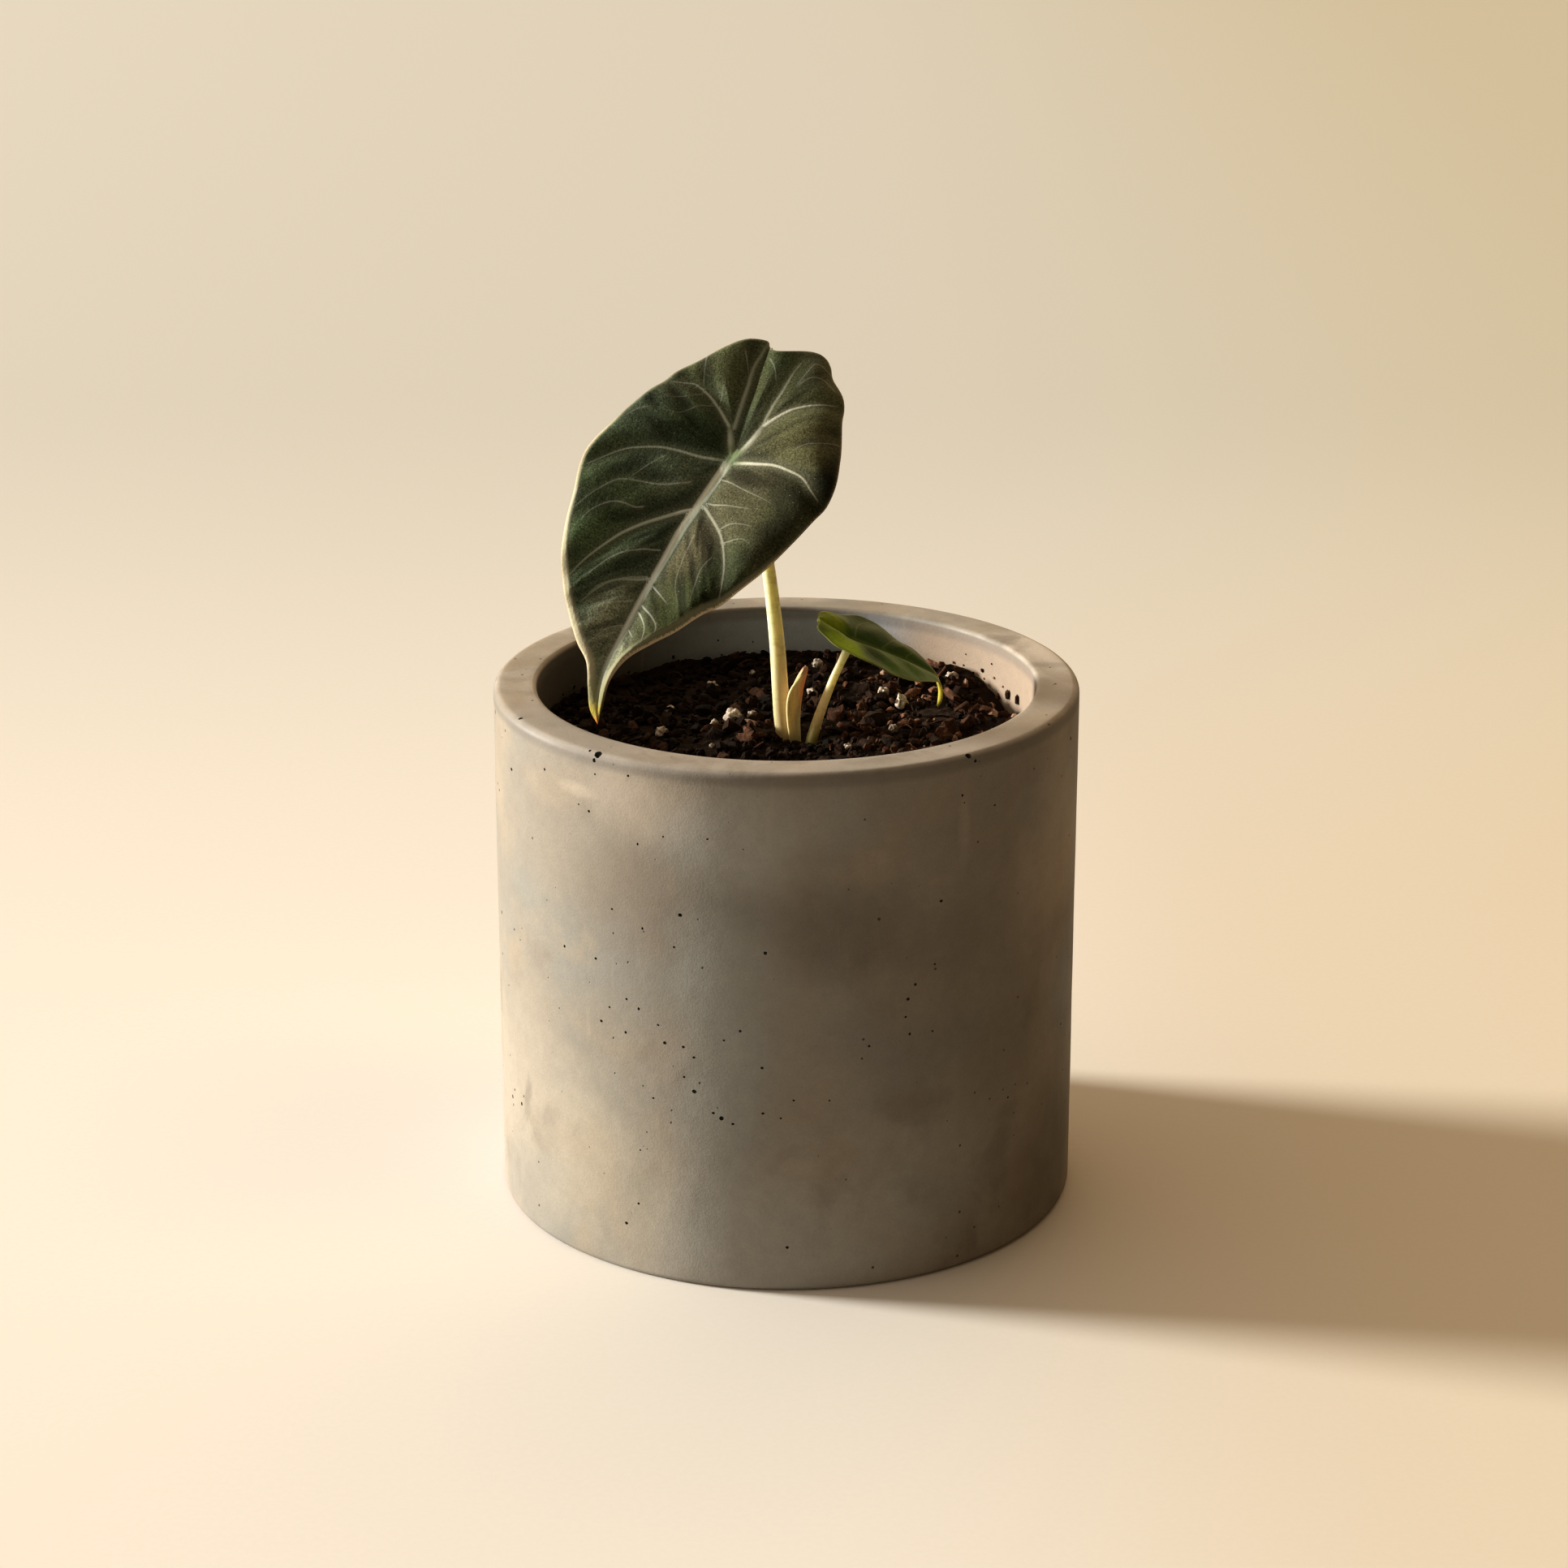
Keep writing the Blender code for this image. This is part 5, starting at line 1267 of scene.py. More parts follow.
    below = blend(tree, lines, tones["under"], tones["under_veins"])
    below = blend(tree, spread(tree, rim, 1.6, 0.4), below, tones["under_margin"])
    colour = blend(tree, spread(tree, attribute(tree, "under"), *UNDER_SPAN), colour, below)
    sheen = {"Sheen Weight": 0.05, "Sheen Roughness": 0.45, "Sheen Tint": (*tones["sheen"], 1.0)}
    set_surface(tree, shader, colour, 0.8, 0.05, sheen)
    soft = relief(tree, shader, noise_value(tree, plan, 1.1, 3.0, 0.55), 0.12 * MM)
    relief(tree, shader, velvet["Height"], 0.06 * MM, soft)
    return material


def small_blade_material():
    """A fresh young leaf: satin, with a yellow tip. Painted light makes its left half and base lobes a
    lighter yellow-green, and painted light and shade lie over it in soft patches.
    """
    material, tree, shader = start_material("young_leaf")
    tones = SMALL_BLADE_TONES
    plan, across, along = flat_plan(tree)
    # Painted light: the left half is lighter, and painted light and shade lie over it in soft patches.
    colour = blend(tree, spread(tree, across, -1.0, 1.0), tones["left"], tones["right"])
    colour = add_stains_and_painted_light(tree, plan, colour, SMALL_BLADE_LIGHT_AND_SHADE, 1.0, 0.3, 0.5)
    fine = use_group(tree, "fine_grain", Vector=plan, Scale=4.5, Contrast=0.35)
    cells = use_group(tree, "fine_grain", Vector=plan, Scale=1.2, Contrast=0.4)
    colour = shade(tree, colour, fine["Shade"], cells["Shade"])
    lines = vein_lines(tree)
    colour = blend(tree, times(tree, lines, 0.75), colour, tones["veins"])
    rim = times(tree, spread(tree, attribute(tree, "rim"), 0.4, 0.1), 0.7)
    colour = blend(tree, rim, colour, tones["margin"])
    colour = add_bands(tree, along, colour, SMALL_TIP_BANDS)
    below = blend(tree, lines, tones["under"], tones["under_veins"])
    below = blend(tree, spread(tree, along, *SMALL_TIP_BANDS[0][0]), below, tones["under_tip"])
    colour = blend(tree, spread(tree, attribute(tree, "under"), *UNDER_SPAN), colour, below)
    set_surface(tree, shader, colour, 0.55, 0.10)
    soft = relief(tree, shader, noise_value(tree, plan, 1.4), 0.07 * MM)
    relief(tree, shader, fine["Height"], 0.02 * MM, soft)
    return material


def floor_material():
    """Plain warm pale paper, with painted shade: darker far away, at the right, beside the pot and at the
    pot's left. The camera sees it in full, and the pot gets less light from it.
    """
    material, tree, shader = start_material("pale_floor")
    place = own_place(tree)
    across, depth, _ = parts_of(tree, place)
    # Painted shade: the floor is darker far away, at the right, beside the pot and at the pot's left.
    colour = blend(tree, spread(tree, depth, *FAR_FLOOR_SHADE_SPAN), FLOOR_COLOUR, FAR_FLOOR_SHADE)
    colour = tinted(tree, spread(tree, across, *RIGHT_FLOOR_SPAN), colour, RIGHT_FLOOR_SHADE)
    near_side, far_side, behind = BESIDE_FLOOR_SPANS
    beside = times(tree, spread(tree, across, *near_side), spread(tree, across, *far_side))
    beside = times(tree, beside, spread(tree, depth, *behind))
    colour = tinted(tree, beside, colour, BESIDE_FLOOR_SHADE)
    far_side, near_side, in_depth = GLOW_FLOOR_SPANS
    glow_shade = times(tree, spread(tree, across, *far_side), spread(tree, across, *near_side))
    away = maths(tree, "ABSOLUTE", maths(tree, "SUBTRACT", depth, GLOW_FLOOR_DEPTH))
    glow_shade = times(tree, glow_shade, spread(tree, away, *in_depth))
    colour = tinted(tree, glow_shade, colour, GLOW_FLOOR_SHADE)
    grain = spread(tree, noise_value(tree, place, 900.0, 2.0), 0.3, 0.7, 0.985, 1.0)
    seen = add_node(tree, "LightPath").outputs["Is Camera Ray"]
    given_back = spread(tree, seen, 0.0, 1.0, FLOOR_BOUNCE, 1.0, "LINEAR")
    set_surface(tree, shader, shade(tree, colour, grain, given_back), 0.9, 0.1)
    return material


# The stage


def make_camera():
    bpy.ops.object.camera_add(location=CAMERA_PLACE, rotation=(math.radians(CAMERA_TILT), 0, 0))
    camera = bpy.context.object
    camera.name = "view"
    camera.data.lens = CAMERA_LENS
    camera.data.sensor_width = CAMERA_SENSOR
    camera.data.dof.use_dof = False
    bpy.context.scene.camera = camera


def make_stage():
    deselect_all()
    bpy.ops.mesh.primitive_plane_add(size=FLOOR_SIZE, location=(0, 0, -FLOOR_DROP))
    floor = name_piece("floor")
    settle(floor)
    floor.data.materials.append(floor_material())

    bpy.ops.object.light_add(type="SPOT", location=KEY_WAY * KEY_DISTANCE)
    key = bpy.context.object
    key.name = "low_window_light"
    key.rotation_euler = KEY_WAY.to_track_quat("Z", "Y").to_euler()
    key.data.shadow_soft_size = KEY_RADIUS
    key.data.spot_size = KEY_CONE
    key.data.spot_blend = 1.0
    key.data.energy = KEY_POWER
    key.data.color = KEY_COLOUR

    # A soft room: bright at the left and behind, dark at the right. The camera sees a plain wall.
    world = bpy.data.worlds.new("soft_room")
    world.use_nodes = True
    tree = world.node_tree
    sideways, depth, _ = parts_of(tree, add_node(tree, "TexCoord").outputs["Generated"])
    right = blend(tree, spread(tree, depth, *FILL_BACK_SPAN), FILL_RIGHT_FRONT, FILL_RIGHT_BACK)
    fill = blend(tree, spread(tree, sideways, *FILL_RIGHT_SPAN, kind="LINEAR"), FILL_LEFT, right)
    seen = add_node(tree, "LightPath").outputs["Is Camera Ray"]
    fill_inputs(tree, tree.nodes["Background"], {"Color": blend(tree, seen, fill, FAR_WALL_COLOUR)})
    bpy.context.scene.world = world
    bpy.context.scene.view_settings.view_transform = "Standard"


# The pot


def make_pit_cutter(pits):
    """Small uneven bubbles: each pit is a middle, a normal and a width."""
    dice = random.Random(PIT_SHAPE_SEED)
    bpy.ops.mesh.primitive_ico_sphere_add(subdivisions=2, radius=0.5)
    bubble = name_piece("bubble")
    ball = points_of(bubble.data)
    faces = np.array([face.vertices[:] for face in bubble.data.polygons])
    points = []
    corners = []
    for middle, normal, width in pits:
        turn = normal.to_track_quat("Z", "Y").to_matrix()
        sides = [dice.uniform(*span) for span in PIT_STRETCHES]
        shape = np.array(turn @ Matrix.Diagonal((*sides, PIT_DEPTH))) * width
        uneven = 1 + np.array([dice.uniform(-PIT_UNEVENNESS, PIT_UNEVENNESS) for _ in ball])
        corners.append(faces + len(ball) * len(points))
        sunk = np.array(middle - normal * PIT_SINK * width)
        points.append((ball * uneven[:, None]) @ shape.T + sunk)
    bpy.data.objects.remove(bubble)
    return piece_from("bubbles", np.vstack(points).tolist(), np.vstack(corners).tolist())


def pit_places(pot, radius, height):
    """The pits that the photograph shows, and seeded ones on the sides that it doesn't show."""
    pits = []
    for pixel_x, pixel_y, width in PITS_SEEN:
        middle, normal = seen_at(pixel_x, pixel_y, pot)
        if middle:
            pits.append((middle, normal, width * MM))
    dice = random.Random(PIT_PLACE_SEED)
    added = 0
    while added < PITS_ROUND_THE_BACK:
        turn = dice.uniform(*PIT_TURNS)
        rise = height * dice.uniform(*PIT_HEIGHT_SHARES)
        width = dice.uniform(*PIT_WIDTHS) * MM
        normal = Vector((math.cos(turn), math.sin(turn), 0))
        middle = normal * radius + Vector((0, 0, rise))
        if all((middle - other).length > PIT_SPACING for other, _, _ in pits):
            pits.append((middle, normal, width))
            added += 1
    return pits


def make_pot():
    """The pot: a cylinder hollowed out by inset and extrude, rounded, then waved and pitted."""
    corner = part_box("pot")[1]
    radius, height = corner.x, corner.z
    inner = radius - POT_WALL
    deselect_all()
    middle = (0, 0, height / 2)
    bpy.ops.mesh.primitive_cylinder_add(vertices=POT_SIDES, radius=radius, depth=height, location=middle)
    pot = name_piece("concrete_pot")
    settle(pot)
    pick(pot, "FACE", lambda corners: all(place.z > height - NEAR for place in corners))
    bpy.ops.mesh.inset(thickness=POT_WALL)
    bpy.ops.mesh.extrude_region_move(TRANSFORM_OT_translate={"value": (0, 0, POT_FLOOR - height)})
    # Each rounding: the radius and height of its ring, its width and its steps.
    rounds = [
        (inner, POT_FLOOR, FLOOR_FILLET, 8),
        (inner, height, MOUTH_ROUND, 5),
        (radius, height, RIM_ROUND, 7),
        (radius, 0, FOOT_ROUND, 6),
    ]
    for ring_radius, ring_height, width, steps in rounds:
        pick(pot, "EDGE", on_ring(ring_radius, ring_height))
        bevel_picked(width, steps)
    cut_long_edges(pot, WALL_EDGE_SHARE * height, POT_RINGS)
    cut_long_edges(pot, POT_WALL / 2, RIM_RINGS)
    face_outwards(pot)

    waved = []
    for x, y, z in points_of(pot.data):
        away = math.hypot(x, y)
        stretch = 1.0
        if away > radius - NEAR and FOOT_ROUND < z < height - RIM_ROUND:
            stretch += noise.noise(Vector((x, y, z)) / CAST_WAVE_SPAN) * CAST_WAVE / away
        waved.append((x * stretch, y * stretch, z))
    move_points(pot.data, waved)

    pits = pit_places(pot, radius, height)
    combine(pot, "DIFFERENCE", make_pit_cutter(pits))
    # Painted shade: the insides of the pits are marked to be painted dark.
    places = points_of(pot.data)
    pit_shade_mask = np.zeros(len(places))
    for middle, normal, width in pits:
        from_pit = places - np.array(middle)
        near_pit = np.linalg.norm(from_pit, axis=1) < PIT_REACH * width
        pit_shade_mask[near_pit & (from_pit @ np.array(normal) < -PIT_INSIDE * width)] = 1.0
    store(pot.data, "pit_shade", pit_shade_mask)
    smooth(pot, 38)
    finish_piece(pot, "concrete", concrete_material(), "pot")
    return pot, inner


# The potting mix


def soil_height(x, y):
    """Height of the mix's own surface under its lumps."""
    height = SOIL_LEVEL
    for across, depth, reach, rise in SOIL_SWELLS:
        away = math.hypot(x - across * MM, y - depth * MM) / (reach * MM)
        height += rise * MM * math.exp(-away * away)
    return height


def lumpy(x, y):
    """Height of the lumps at a place: rounded cells of three sizes."""
    height = 0.0
    for number, (spacing, rise) in enumerate(SOIL_LUMPS):
        place = Vector((x, y, number * 7 * MM)) / (spacing * MM)
        away = noise.voronoi(place)[0][0]
        height += rise * MM * (LUMP_MIDDLE - away)
    return height


def make_soil_bed(material, inner):
    """The filling of the pot: a fine lumpy sheet over a round block of the same mix."""
    radius = inner - SOIL_GAP
    deselect_all()
    span = SOIL_SHEET_SPAN * radius
    bpy.ops.mesh.primitive_grid_add(x_subdivisions=SOIL_CELLS, y_subdivisions=SOIL_CELLS, size=span)
    bed = name_piece("soil_bed")
    places = points_of(bed.data)
    for place in places:
        x, y = place[:2]
        place[2] = soil_height(x, y) + lumpy(x, y)
    move_points(bed.data, places)
    # The sheet's rim is drawn down and flattened below the pot's floor, and closed there.
    take_up(bed)
    bpy.ops.object.mode_set(mode="EDIT")
    bpy.ops.mesh.select_mode(type="EDGE")
    bpy.ops.mesh.select_all(action="DESELECT")
    bpy.ops.mesh.select_non_manifold()
    bpy.ops.mesh.extrude_region_move(TRANSFORM_OT_translate={"value": (0, 0, -MOULD_DEPTH)})
    bpy.ops.transform.resize(value=(1, 1, 0), center_override=(0, 0, BELOW_THE_POT))
    bpy.ops.mesh.edge_face_add()
    bpy.ops.object.mode_set(mode="OBJECT")
    face_outwards(bed)

    deselect_all()
    middle = (0, 0, SOIL_BASE + MOULD_DEPTH / 2)
    bpy.ops.mesh.primitive_cylinder_add(
        vertices=POT_SIDES, radius=radius, depth=MOULD_DEPTH, location=middle
    )
    mould = name_piece("mould")
    settle(mould)
    pick(mould, "EDGE", lambda ends: all(place.z < SOIL_BASE + NEAR for place in ends))
    bevel_picked(FLOOR_FILLET, 6)
    bpy.ops.object.mode_set(mode="OBJECT")
    combine(bed, "INTERSECT", mould)
    clouds = [noise.noise(Vector(place) / BED_TINT_SPAN) for place in points_of(bed.data)]
    store(bed.data, "tint", BED_TINT + BED_TINT_CHANGE * np.array(clouds))
    smooth(bed, 50)
    finish_piece(bed, "potting_mix", material, "soil")


def model_crumb(name, sides, seed):
    """A small block with its sides divided once and its corners pushed about."""
    dice = random.Random(seed)
    deselect_all()
    bpy.ops.mesh.primitive_cube_add(size=1)
    crumb = name_piece(name)
    bpy.ops.object.mode_set(mode="EDIT")
    bpy.ops.mesh.subdivide(number_cuts=1, smoothness=0.9)
    bpy.ops.object.mode_set(mode="OBJECT")
    places = points_of(crumb.data) * np.array(sides)
    pushes = [[dice.uniform(-CORNER_JITTER, CORNER_JITTER) for _ in range(3)] for _ in places]
    places *= 1 + np.array(pushes)
    move_points(crumb.data, places / np.abs(places).max())
    return crumb


def model_fibre(name, seed):
    """A thin bent strand of coir or root."""
    dice = random.Random(seed)
    deselect_all()
    bpy.ops.mesh.primitive_cylinder_add(
        vertices=FIBRE_SIDES, radius=FIBRE_RADIUS, depth=1, rotation=(0, math.pi / 2, 0)
    )
    fibre = name_piece(name)
    settle(fibre)
    cut_long_edges(fibre, 0.5, FIBRE_CUTS)
    places = points_of(fibre.data)
    bend = dice.uniform(*FIBRE_BENDS)
    twist = dice.uniform(*FIBRE_TWISTS)
    places[:, 1] += bend * np.cos(places[:, 0] * math.pi) - bend * 0.6
    places[:, 2] += twist * np.sin(places[:, 0] * FULL_TURN)
    move_points(fibre.data, places)
    return fibre


def strew(name, models, laid, material, slot):
    """One piece made of many copies. Each laid one is a model's number, a place, a turn, three
    scales and a tint."""
    shapes = []
    for model in models:
        faces = [tuple(face.vertices) for face in model.data.polygons]
        shapes.append((points_of(model.data), faces))
    points = []
    corners = []
    tints = []
    count = 0
    for which, place, turn, scales, tint in laid:
        shape, faces = shapes[which]
        matrix = np.array(turn.to_matrix()) * np.array(scales)
        points.append(shape @ matrix.T + np.array(place))
        corners += [tuple(k + count for k in face) for face in faces]
        tints += [tint] * len(shape)
        count += len(shape)
    obj = piece_from(name, np.vstack(points).tolist(), corners)
    store(obj.data, "tint", tints)
    face_outwards(obj)
    smooth(obj, 40)
    finish_piece(obj, slot, material)


def any_turn(dice):
    return Euler([dice.uniform(0, FULL_TURN) for _ in range(3)])


def lying_turn(dice, lean):
    """A turn that leaves a long piece lying, leaning by up to an angle."""
    return Euler((dice.uniform(0, 6.3), dice.uniform(-lean, lean), dice.uniform(0, FULL_TURN)))


def is_free(x, y, room):
    return all(
        math.hypot(x - across * MM, y - depth * MM) > reach * MM + room for across, depth, reach in KEPT_FREE
    )


def scattered(count, reach, dice, room=0.0):
    """Places spread evenly over the mix, clear of the plant."""
    found = []
    for number in range(count):
        away = reach * math.sqrt((number + 0.5) / count)
        turn = number * GOLDEN_ANGLE + dice.uniform(-SCATTER_TURN, SCATTER_TURN)
        x = away * math.cos(turn) + dice.uniform(-SCATTER_SHIFT, SCATTER_SHIFT) * MM
        y = away * math.sin(turn) + dice.uniform(-SCATTER_SHIFT, SCATTER_SHIFT) * MM
        if math.hypot(x, y) < reach and is_free(x, y, room):
            found.append((x, y))
    return found


def tint_of(dice, middle, x=20 * MM, y=0.0):
    """Most pieces are dark, and a few are much lighter, most of them at the right, at the back right and
    round the stems. Elsewhere the pieces are painted darker, as shade."""
    across, depth = x - MOUND_PLACE[0], y - MOUND_PLACE[1]
    mound = math.exp(-(across**2 + depth**2) / MOUND_REACH**2)
    slant = min(0, LIGHTER_RIGHT_SLANT * (y - LIGHTER_RIGHT_FRONT))
    right = float(ease(*LIGHTER_RIGHT_SPAN, x + slant))
    back = LIGHTER_BACK * float(ease(*LIGHTER_BACK_SPAN, y)) * float(ease(*LIGHTER_BACK_RIGHT_SPAN, x))
    # dry is how far this place is kept from the painted shade.
    dry = max(right, mound, back)
    light = dice.random() ** 4 * (LEAST_LIGHT + (1 - LEAST_LIGHT) * dry)
    tint = middle - PAINTED_SHADE_TINT * (1 - dry) + dice.uniform(*TINT_CHANCES) + LIGHT_TINT * light
    return min(1.0, max(DARKEST_TINT, tint))


def make_loose_mix(material, inner):
    """Clods, crumbs, bark chips and fibres on the surface of the mix. Gives back the crumbs' models."""
    dice = random.Random(MIX_SEED)
    crumb_models = [model_crumb(f"crumb_{k}", CRUMB_SIDES, k) for k in range(CRUMB_SHAPES)]
    chip_models = [model_crumb(f"chip_{k}", CHIP_SIDES, CHIP_SEED + k) for k in range(CHIP_SHAPES)]
    fibre_models = [model_fibre(f"fibre_{k}", FIBRE_SEED + k) for k in range(FIBRE_SHAPES)]
    edge = inner - WALL_ROOM

    clods = []
    for x, y in scattered(CLODS, edge - CLOD_INSET, dice, CLOD_ROOM):
        size = 0.5 * dice.uniform(*CLOD_WIDTHS) * MM
        place = (x, y, soil_height(x, y) + CLOD_LIFT * size)
        scales = [size] + [size * dice.uniform(*span) for span in CLOD_SHAPES]
        which, turn = dice.randrange(CRUMB_SHAPES), any_turn(dice)
        clods.append((which, place, turn, scales, min(LIGHTEST_CLOD, tint_of(dice, CLOD_TINT, x, y))))
    crumbs = []
    narrow, wide = CRUMB_WIDTHS
    for x, y in scattered(CRUMBS, edge - CRUMB_INSET, dice):
        size = 0.5 * MM * (narrow + (wide - narrow) * dice.random() ** 2)
        place = (x, y, soil_height(x, y) + lumpy(x, y) + CRUMB_LIFT * size)
        scales = [size * dice.uniform(*CRUMB_STRETCH) for _ in range(3)]
        which, turn = dice.randrange(CRUMB_SHAPES), any_turn(dice)
        crumbs.append((which, place, turn, scales, tint_of(dice, CRUMB_TINT, x, y)))
    strew("soil_crumbs", crumb_models, clods + crumbs, material, "potting_mix")

    chips = []
    for x, y in scattered(BARK_CHIPS, edge - CHIP_INSET, dice, CHIP_ROOM):
        size = 0.5 * dice.uniform(*BARK_LENGTHS) * MM
        place = (x, y, soil_height(x, y) + max(lumpy(x, y), 0) + CHIP_LIFT * size)
        turn = lying_turn(dice, CHIP_LEAN)
        which = dice.randrange(CHIP_SHAPES)
        tint = min(LIGHTEST_CHIP, tint_of(dice, CHIP_TINT, x, y))
        chips.append((which, place, turn, (size, size, size), tint))
    strew("bark_chips", chip_models, chips, material, "potting_mix")

    fibres = []
    for x, y in scattered(FIBRES, edge - FIBRE_INSET, dice, FIBRE_ROOM):
        size = dice.uniform(*FIBRE_LENGTHS) * MM
        place = (x, y, soil_height(x, y) + max(lumpy(x, y), 0) + FIBRE_HEIGHT)
        turn = Euler([dice.uniform(*span) for span in FIBRE_LEANS])
        which = dice.randrange(FIBRE_SHAPES)
        tint = tint_of(dice, FIBRE_TINT, x, y)
        thick = size * FIBRE_THICKNESS
        fibres.append((which, place, turn, (size, thick, thick), tint))
    strew("coir_fibres", fibre_models, fibres, material, "potting_mix")
    for model in chip_models + fibre_models:
        bpy.data.objects.remove(model)
    return crumb_models


def make_wall_specks(material, pot, crumb_models, inner):
    """Crumbs of the mix that stick to the pot's inner wall."""
    dice = random.Random(SPECK_SEED)
    laid = []
    for pixel_x, pixel_y, width in SPECKS_SEEN:
        place, normal = seen_at(pixel_x, pixel_y, pot)
        if place:
            size = 0.5 * width * MM
            scales = (size * 0.7, size * 0.7, size * (1.6 if width > 1 else 1.0))
            turn = Euler((0, 0, dice.uniform(0, 6.3)))
            which = dice.randrange(CRUMB_SHAPES)
            laid.append((which, place + normal * 0.3 * size, turn, scales, tint_of(dice, SEEN_SPECK_TINT)))
    for _ in range(SPECKS_ROUND_THE_WALL):
        turn = dice.uniform(0, FULL_TURN)
        x, y = inner * math.cos(turn), inner * math.sin(turn)
        size = dice.uniform(*SPECK_SIZES) * MM
        place = (x, y, soil_height(x, y) + (SPECK_LOWEST + SPECK_RISE * dice.random() ** 2) * MM)
        which, turn = dice.randrange(CRUMB_SHAPES), any_turn(dice)
        laid.append((which, place, turn, (size, size, size), tint_of(dice, SPECK_TINT)))
    strew("wall_specks", crumb_models, laid, material, "potting_mix")


def make_perlite(material, crumb_models):
    """Each white grain is a foamy lump of its node's own size, and small broken bits lie about."""
    for number in range(1, GRAINS + 1):
        node = f"perlite_{number:02d}"
        low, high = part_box(node)
        deselect_all()
        bpy.ops.mesh.primitive_ico_sphere_add(subdivisions=4, radius=1)
        grain = name_piece(f"white_grain_{number:02d}")
        places = []
        for place in points_of(grain.data):
            way = Vector(place)
            lump = 1 + GRAIN_LUMP * noise.noise(way * GRAIN_LUMPS + Vector((number, 0, 0)) * 5)
            lump -= GRAIN_DENT * abs(noise.noise(way * GRAIN_DENTS + Vector((0, number, 0)) * 3))
            places.append(np.array(way) * lump)
        places = np.array(places)
        places /= np.abs(places).max(axis=0)
        move_points(grain.data, np.array((low + high) / 2) + places * np.array((high - low) / 2))
        smooth(grain, 60)
        finish_piece(grain, "perlite", material, node)

    dice = random.Random(PERLITE_SEED)
    bits = []
    for x, y in scattered(PERLITE_CRUMBS, PERLITE_REACH, dice, PERLITE_ROOM):
        size = 0.5 * dice.uniform(*PERLITE_CRUMB_WIDTHS) * MM
        place = (x, y, soil_height(x, y) + lumpy(x, y) + PERLITE_LIFT * size)
        bits.append((dice.randrange(CRUMB_SHAPES), place, any_turn(dice), (size, size, size), 1.0))
    strew("perlite_bits", crumb_models, bits, material, "perlite")


# Stems and sheath


def stem_centre(stem):
    return smooth_curve(np.array(stem["line"]) * MM, STEM_RINGS)


def make_stem(name, stem, material, node):
    """A round stem swept along its line, with its own thickness at each point."""
    radii = stem["radii"]
    stations = np.linspace(0, 1, STEM_RINGS)
    widths = np.interp(stations, np.linspace(0, 1, len(radii)), np.array(radii) * MM)
    curve = bpy.data.curves.new(name, "CURVE")
    curve.dimensions = "3D"
    curve.bevel_depth = 1.0
    curve.bevel_resolution = STEM_SIDE_STEPS
    curve.use_fill_caps = True
    spline = curve.splines.new("POLY")
    spline.points.add(STEM_RINGS - 1)
    for point, place, width in zip(spline.points, stem_centre(stem), widths):
        point.co = (*place, 1.0)
        point.radius = width
    take_up(link_piece(name, curve))
    bpy.ops.object.convert(target="MESH")
    obj = bpy.context.object
    bpy.ops.object.mode_set(mode="EDIT")
    bpy.ops.mesh.select_all(action="SELECT")
    bpy.ops.mesh.remove_doubles(threshold=JOIN_WITHIN)
    bpy.ops.object.mode_set(mode="OBJECT")
    face_outwards(obj)
    smooth(obj, 60)
    finish_piece(obj, "stem", material, node)


def make_sheath(material):
    """The dried sheath: a pointed shell wrapped round the right side of the large stem."""
    line = stem_centre(LARGE_STEM)
    foot = line[0][2]
    inner_radius = LARGE_STEM["radii"][0] * MM + SOIL_GAP

    def stem_middle(height):
        return [np.interp(height, line[:, 2], line[:, k]) for k in (0, 1)]

    deselect_all()
    bpy.ops.mesh.primitive_grid_add(x_subdivisions=SHEATH_COLUMNS, y_subdivisions=SHEATH_ROWS, size=2)
    sheath = name_piece("dry_leaf_sheath")
    places = []
    turns = []
    rises = []
    for x, y, _ in points_of(sheath.data):
        rise = (y + 1) / 2
        height = foot + rise * (SHEATH_TIP_HEIGHT - foot)
        middle = stem_middle(height)
        # The front half keeps its width nearly to the top and ends in a slanting edge.
        wrap, power = SHEATH_BACK_WRAP, SHEATH_BACK_POWER
        if x < 0:
            wrap, power = SHEATH_FRONT_WRAP * (1 + SHEATH_FRONT_GROWTH * rise), SHEATH_FRONT_POWER
        angle = SHEATH_MIDDLE + x * (wrap * (1 - rise**power) ** SHEATH_TIP_ROUND + SHEATH_TIP_WRAP)
        # The shell is creased down its middle and a little wavy.
        away = abs(x - SHEATH_CREASE_AT)
        crease = SHEATH_CREASE * max(0.0, 1 - SHEATH_CREASE_NARROWING * away) ** 2
        radius = inner_radius + SHEATH_FLARE * rise**2
        radius += crease - SHEATH_WAVE * math.cos(SHEATH_WAVES * x) * rise
        places.append((middle[0] + radius * math.cos(angle), middle[1] + radius * math.sin(angle), height))
        turns.append(x)
        rises.append(rise)
    move_points(sheath.data, places)
    store(sheath.data, "turn", turns)
    store(sheath.data, "rise", rises)
    wall = sheath.modifiers.new("wall", "SOLIDIFY")
    wall.thickness = SHEATH_THICKNESS
    wall.offset = 1.0
    fine = sheath.modifiers.new("fine", "SUBSURF")
    fine.levels = 1
    fine.render_levels = 1
    apply_modifiers(sheath)
    outer = []
    for x, y, z in points_of(sheath.data):
        middle = stem_middle(z)
        rise = np.clip((z - foot) / (SHEATH_TIP_HEIGHT - foot), 0, 1)
        away = math.hypot(x - middle[0], y - middle[1]) - inner_radius - SHEATH_FLARE * rise**2
        outer.append(ease(0.2, 0.6, away / SHEATH_THICKNESS))
    store(sheath.data, "outer", outer)
    smooth(sheath, 60)
    finish_piece(sheath, "sheath", material, "leaf_sheath")


# Leaves


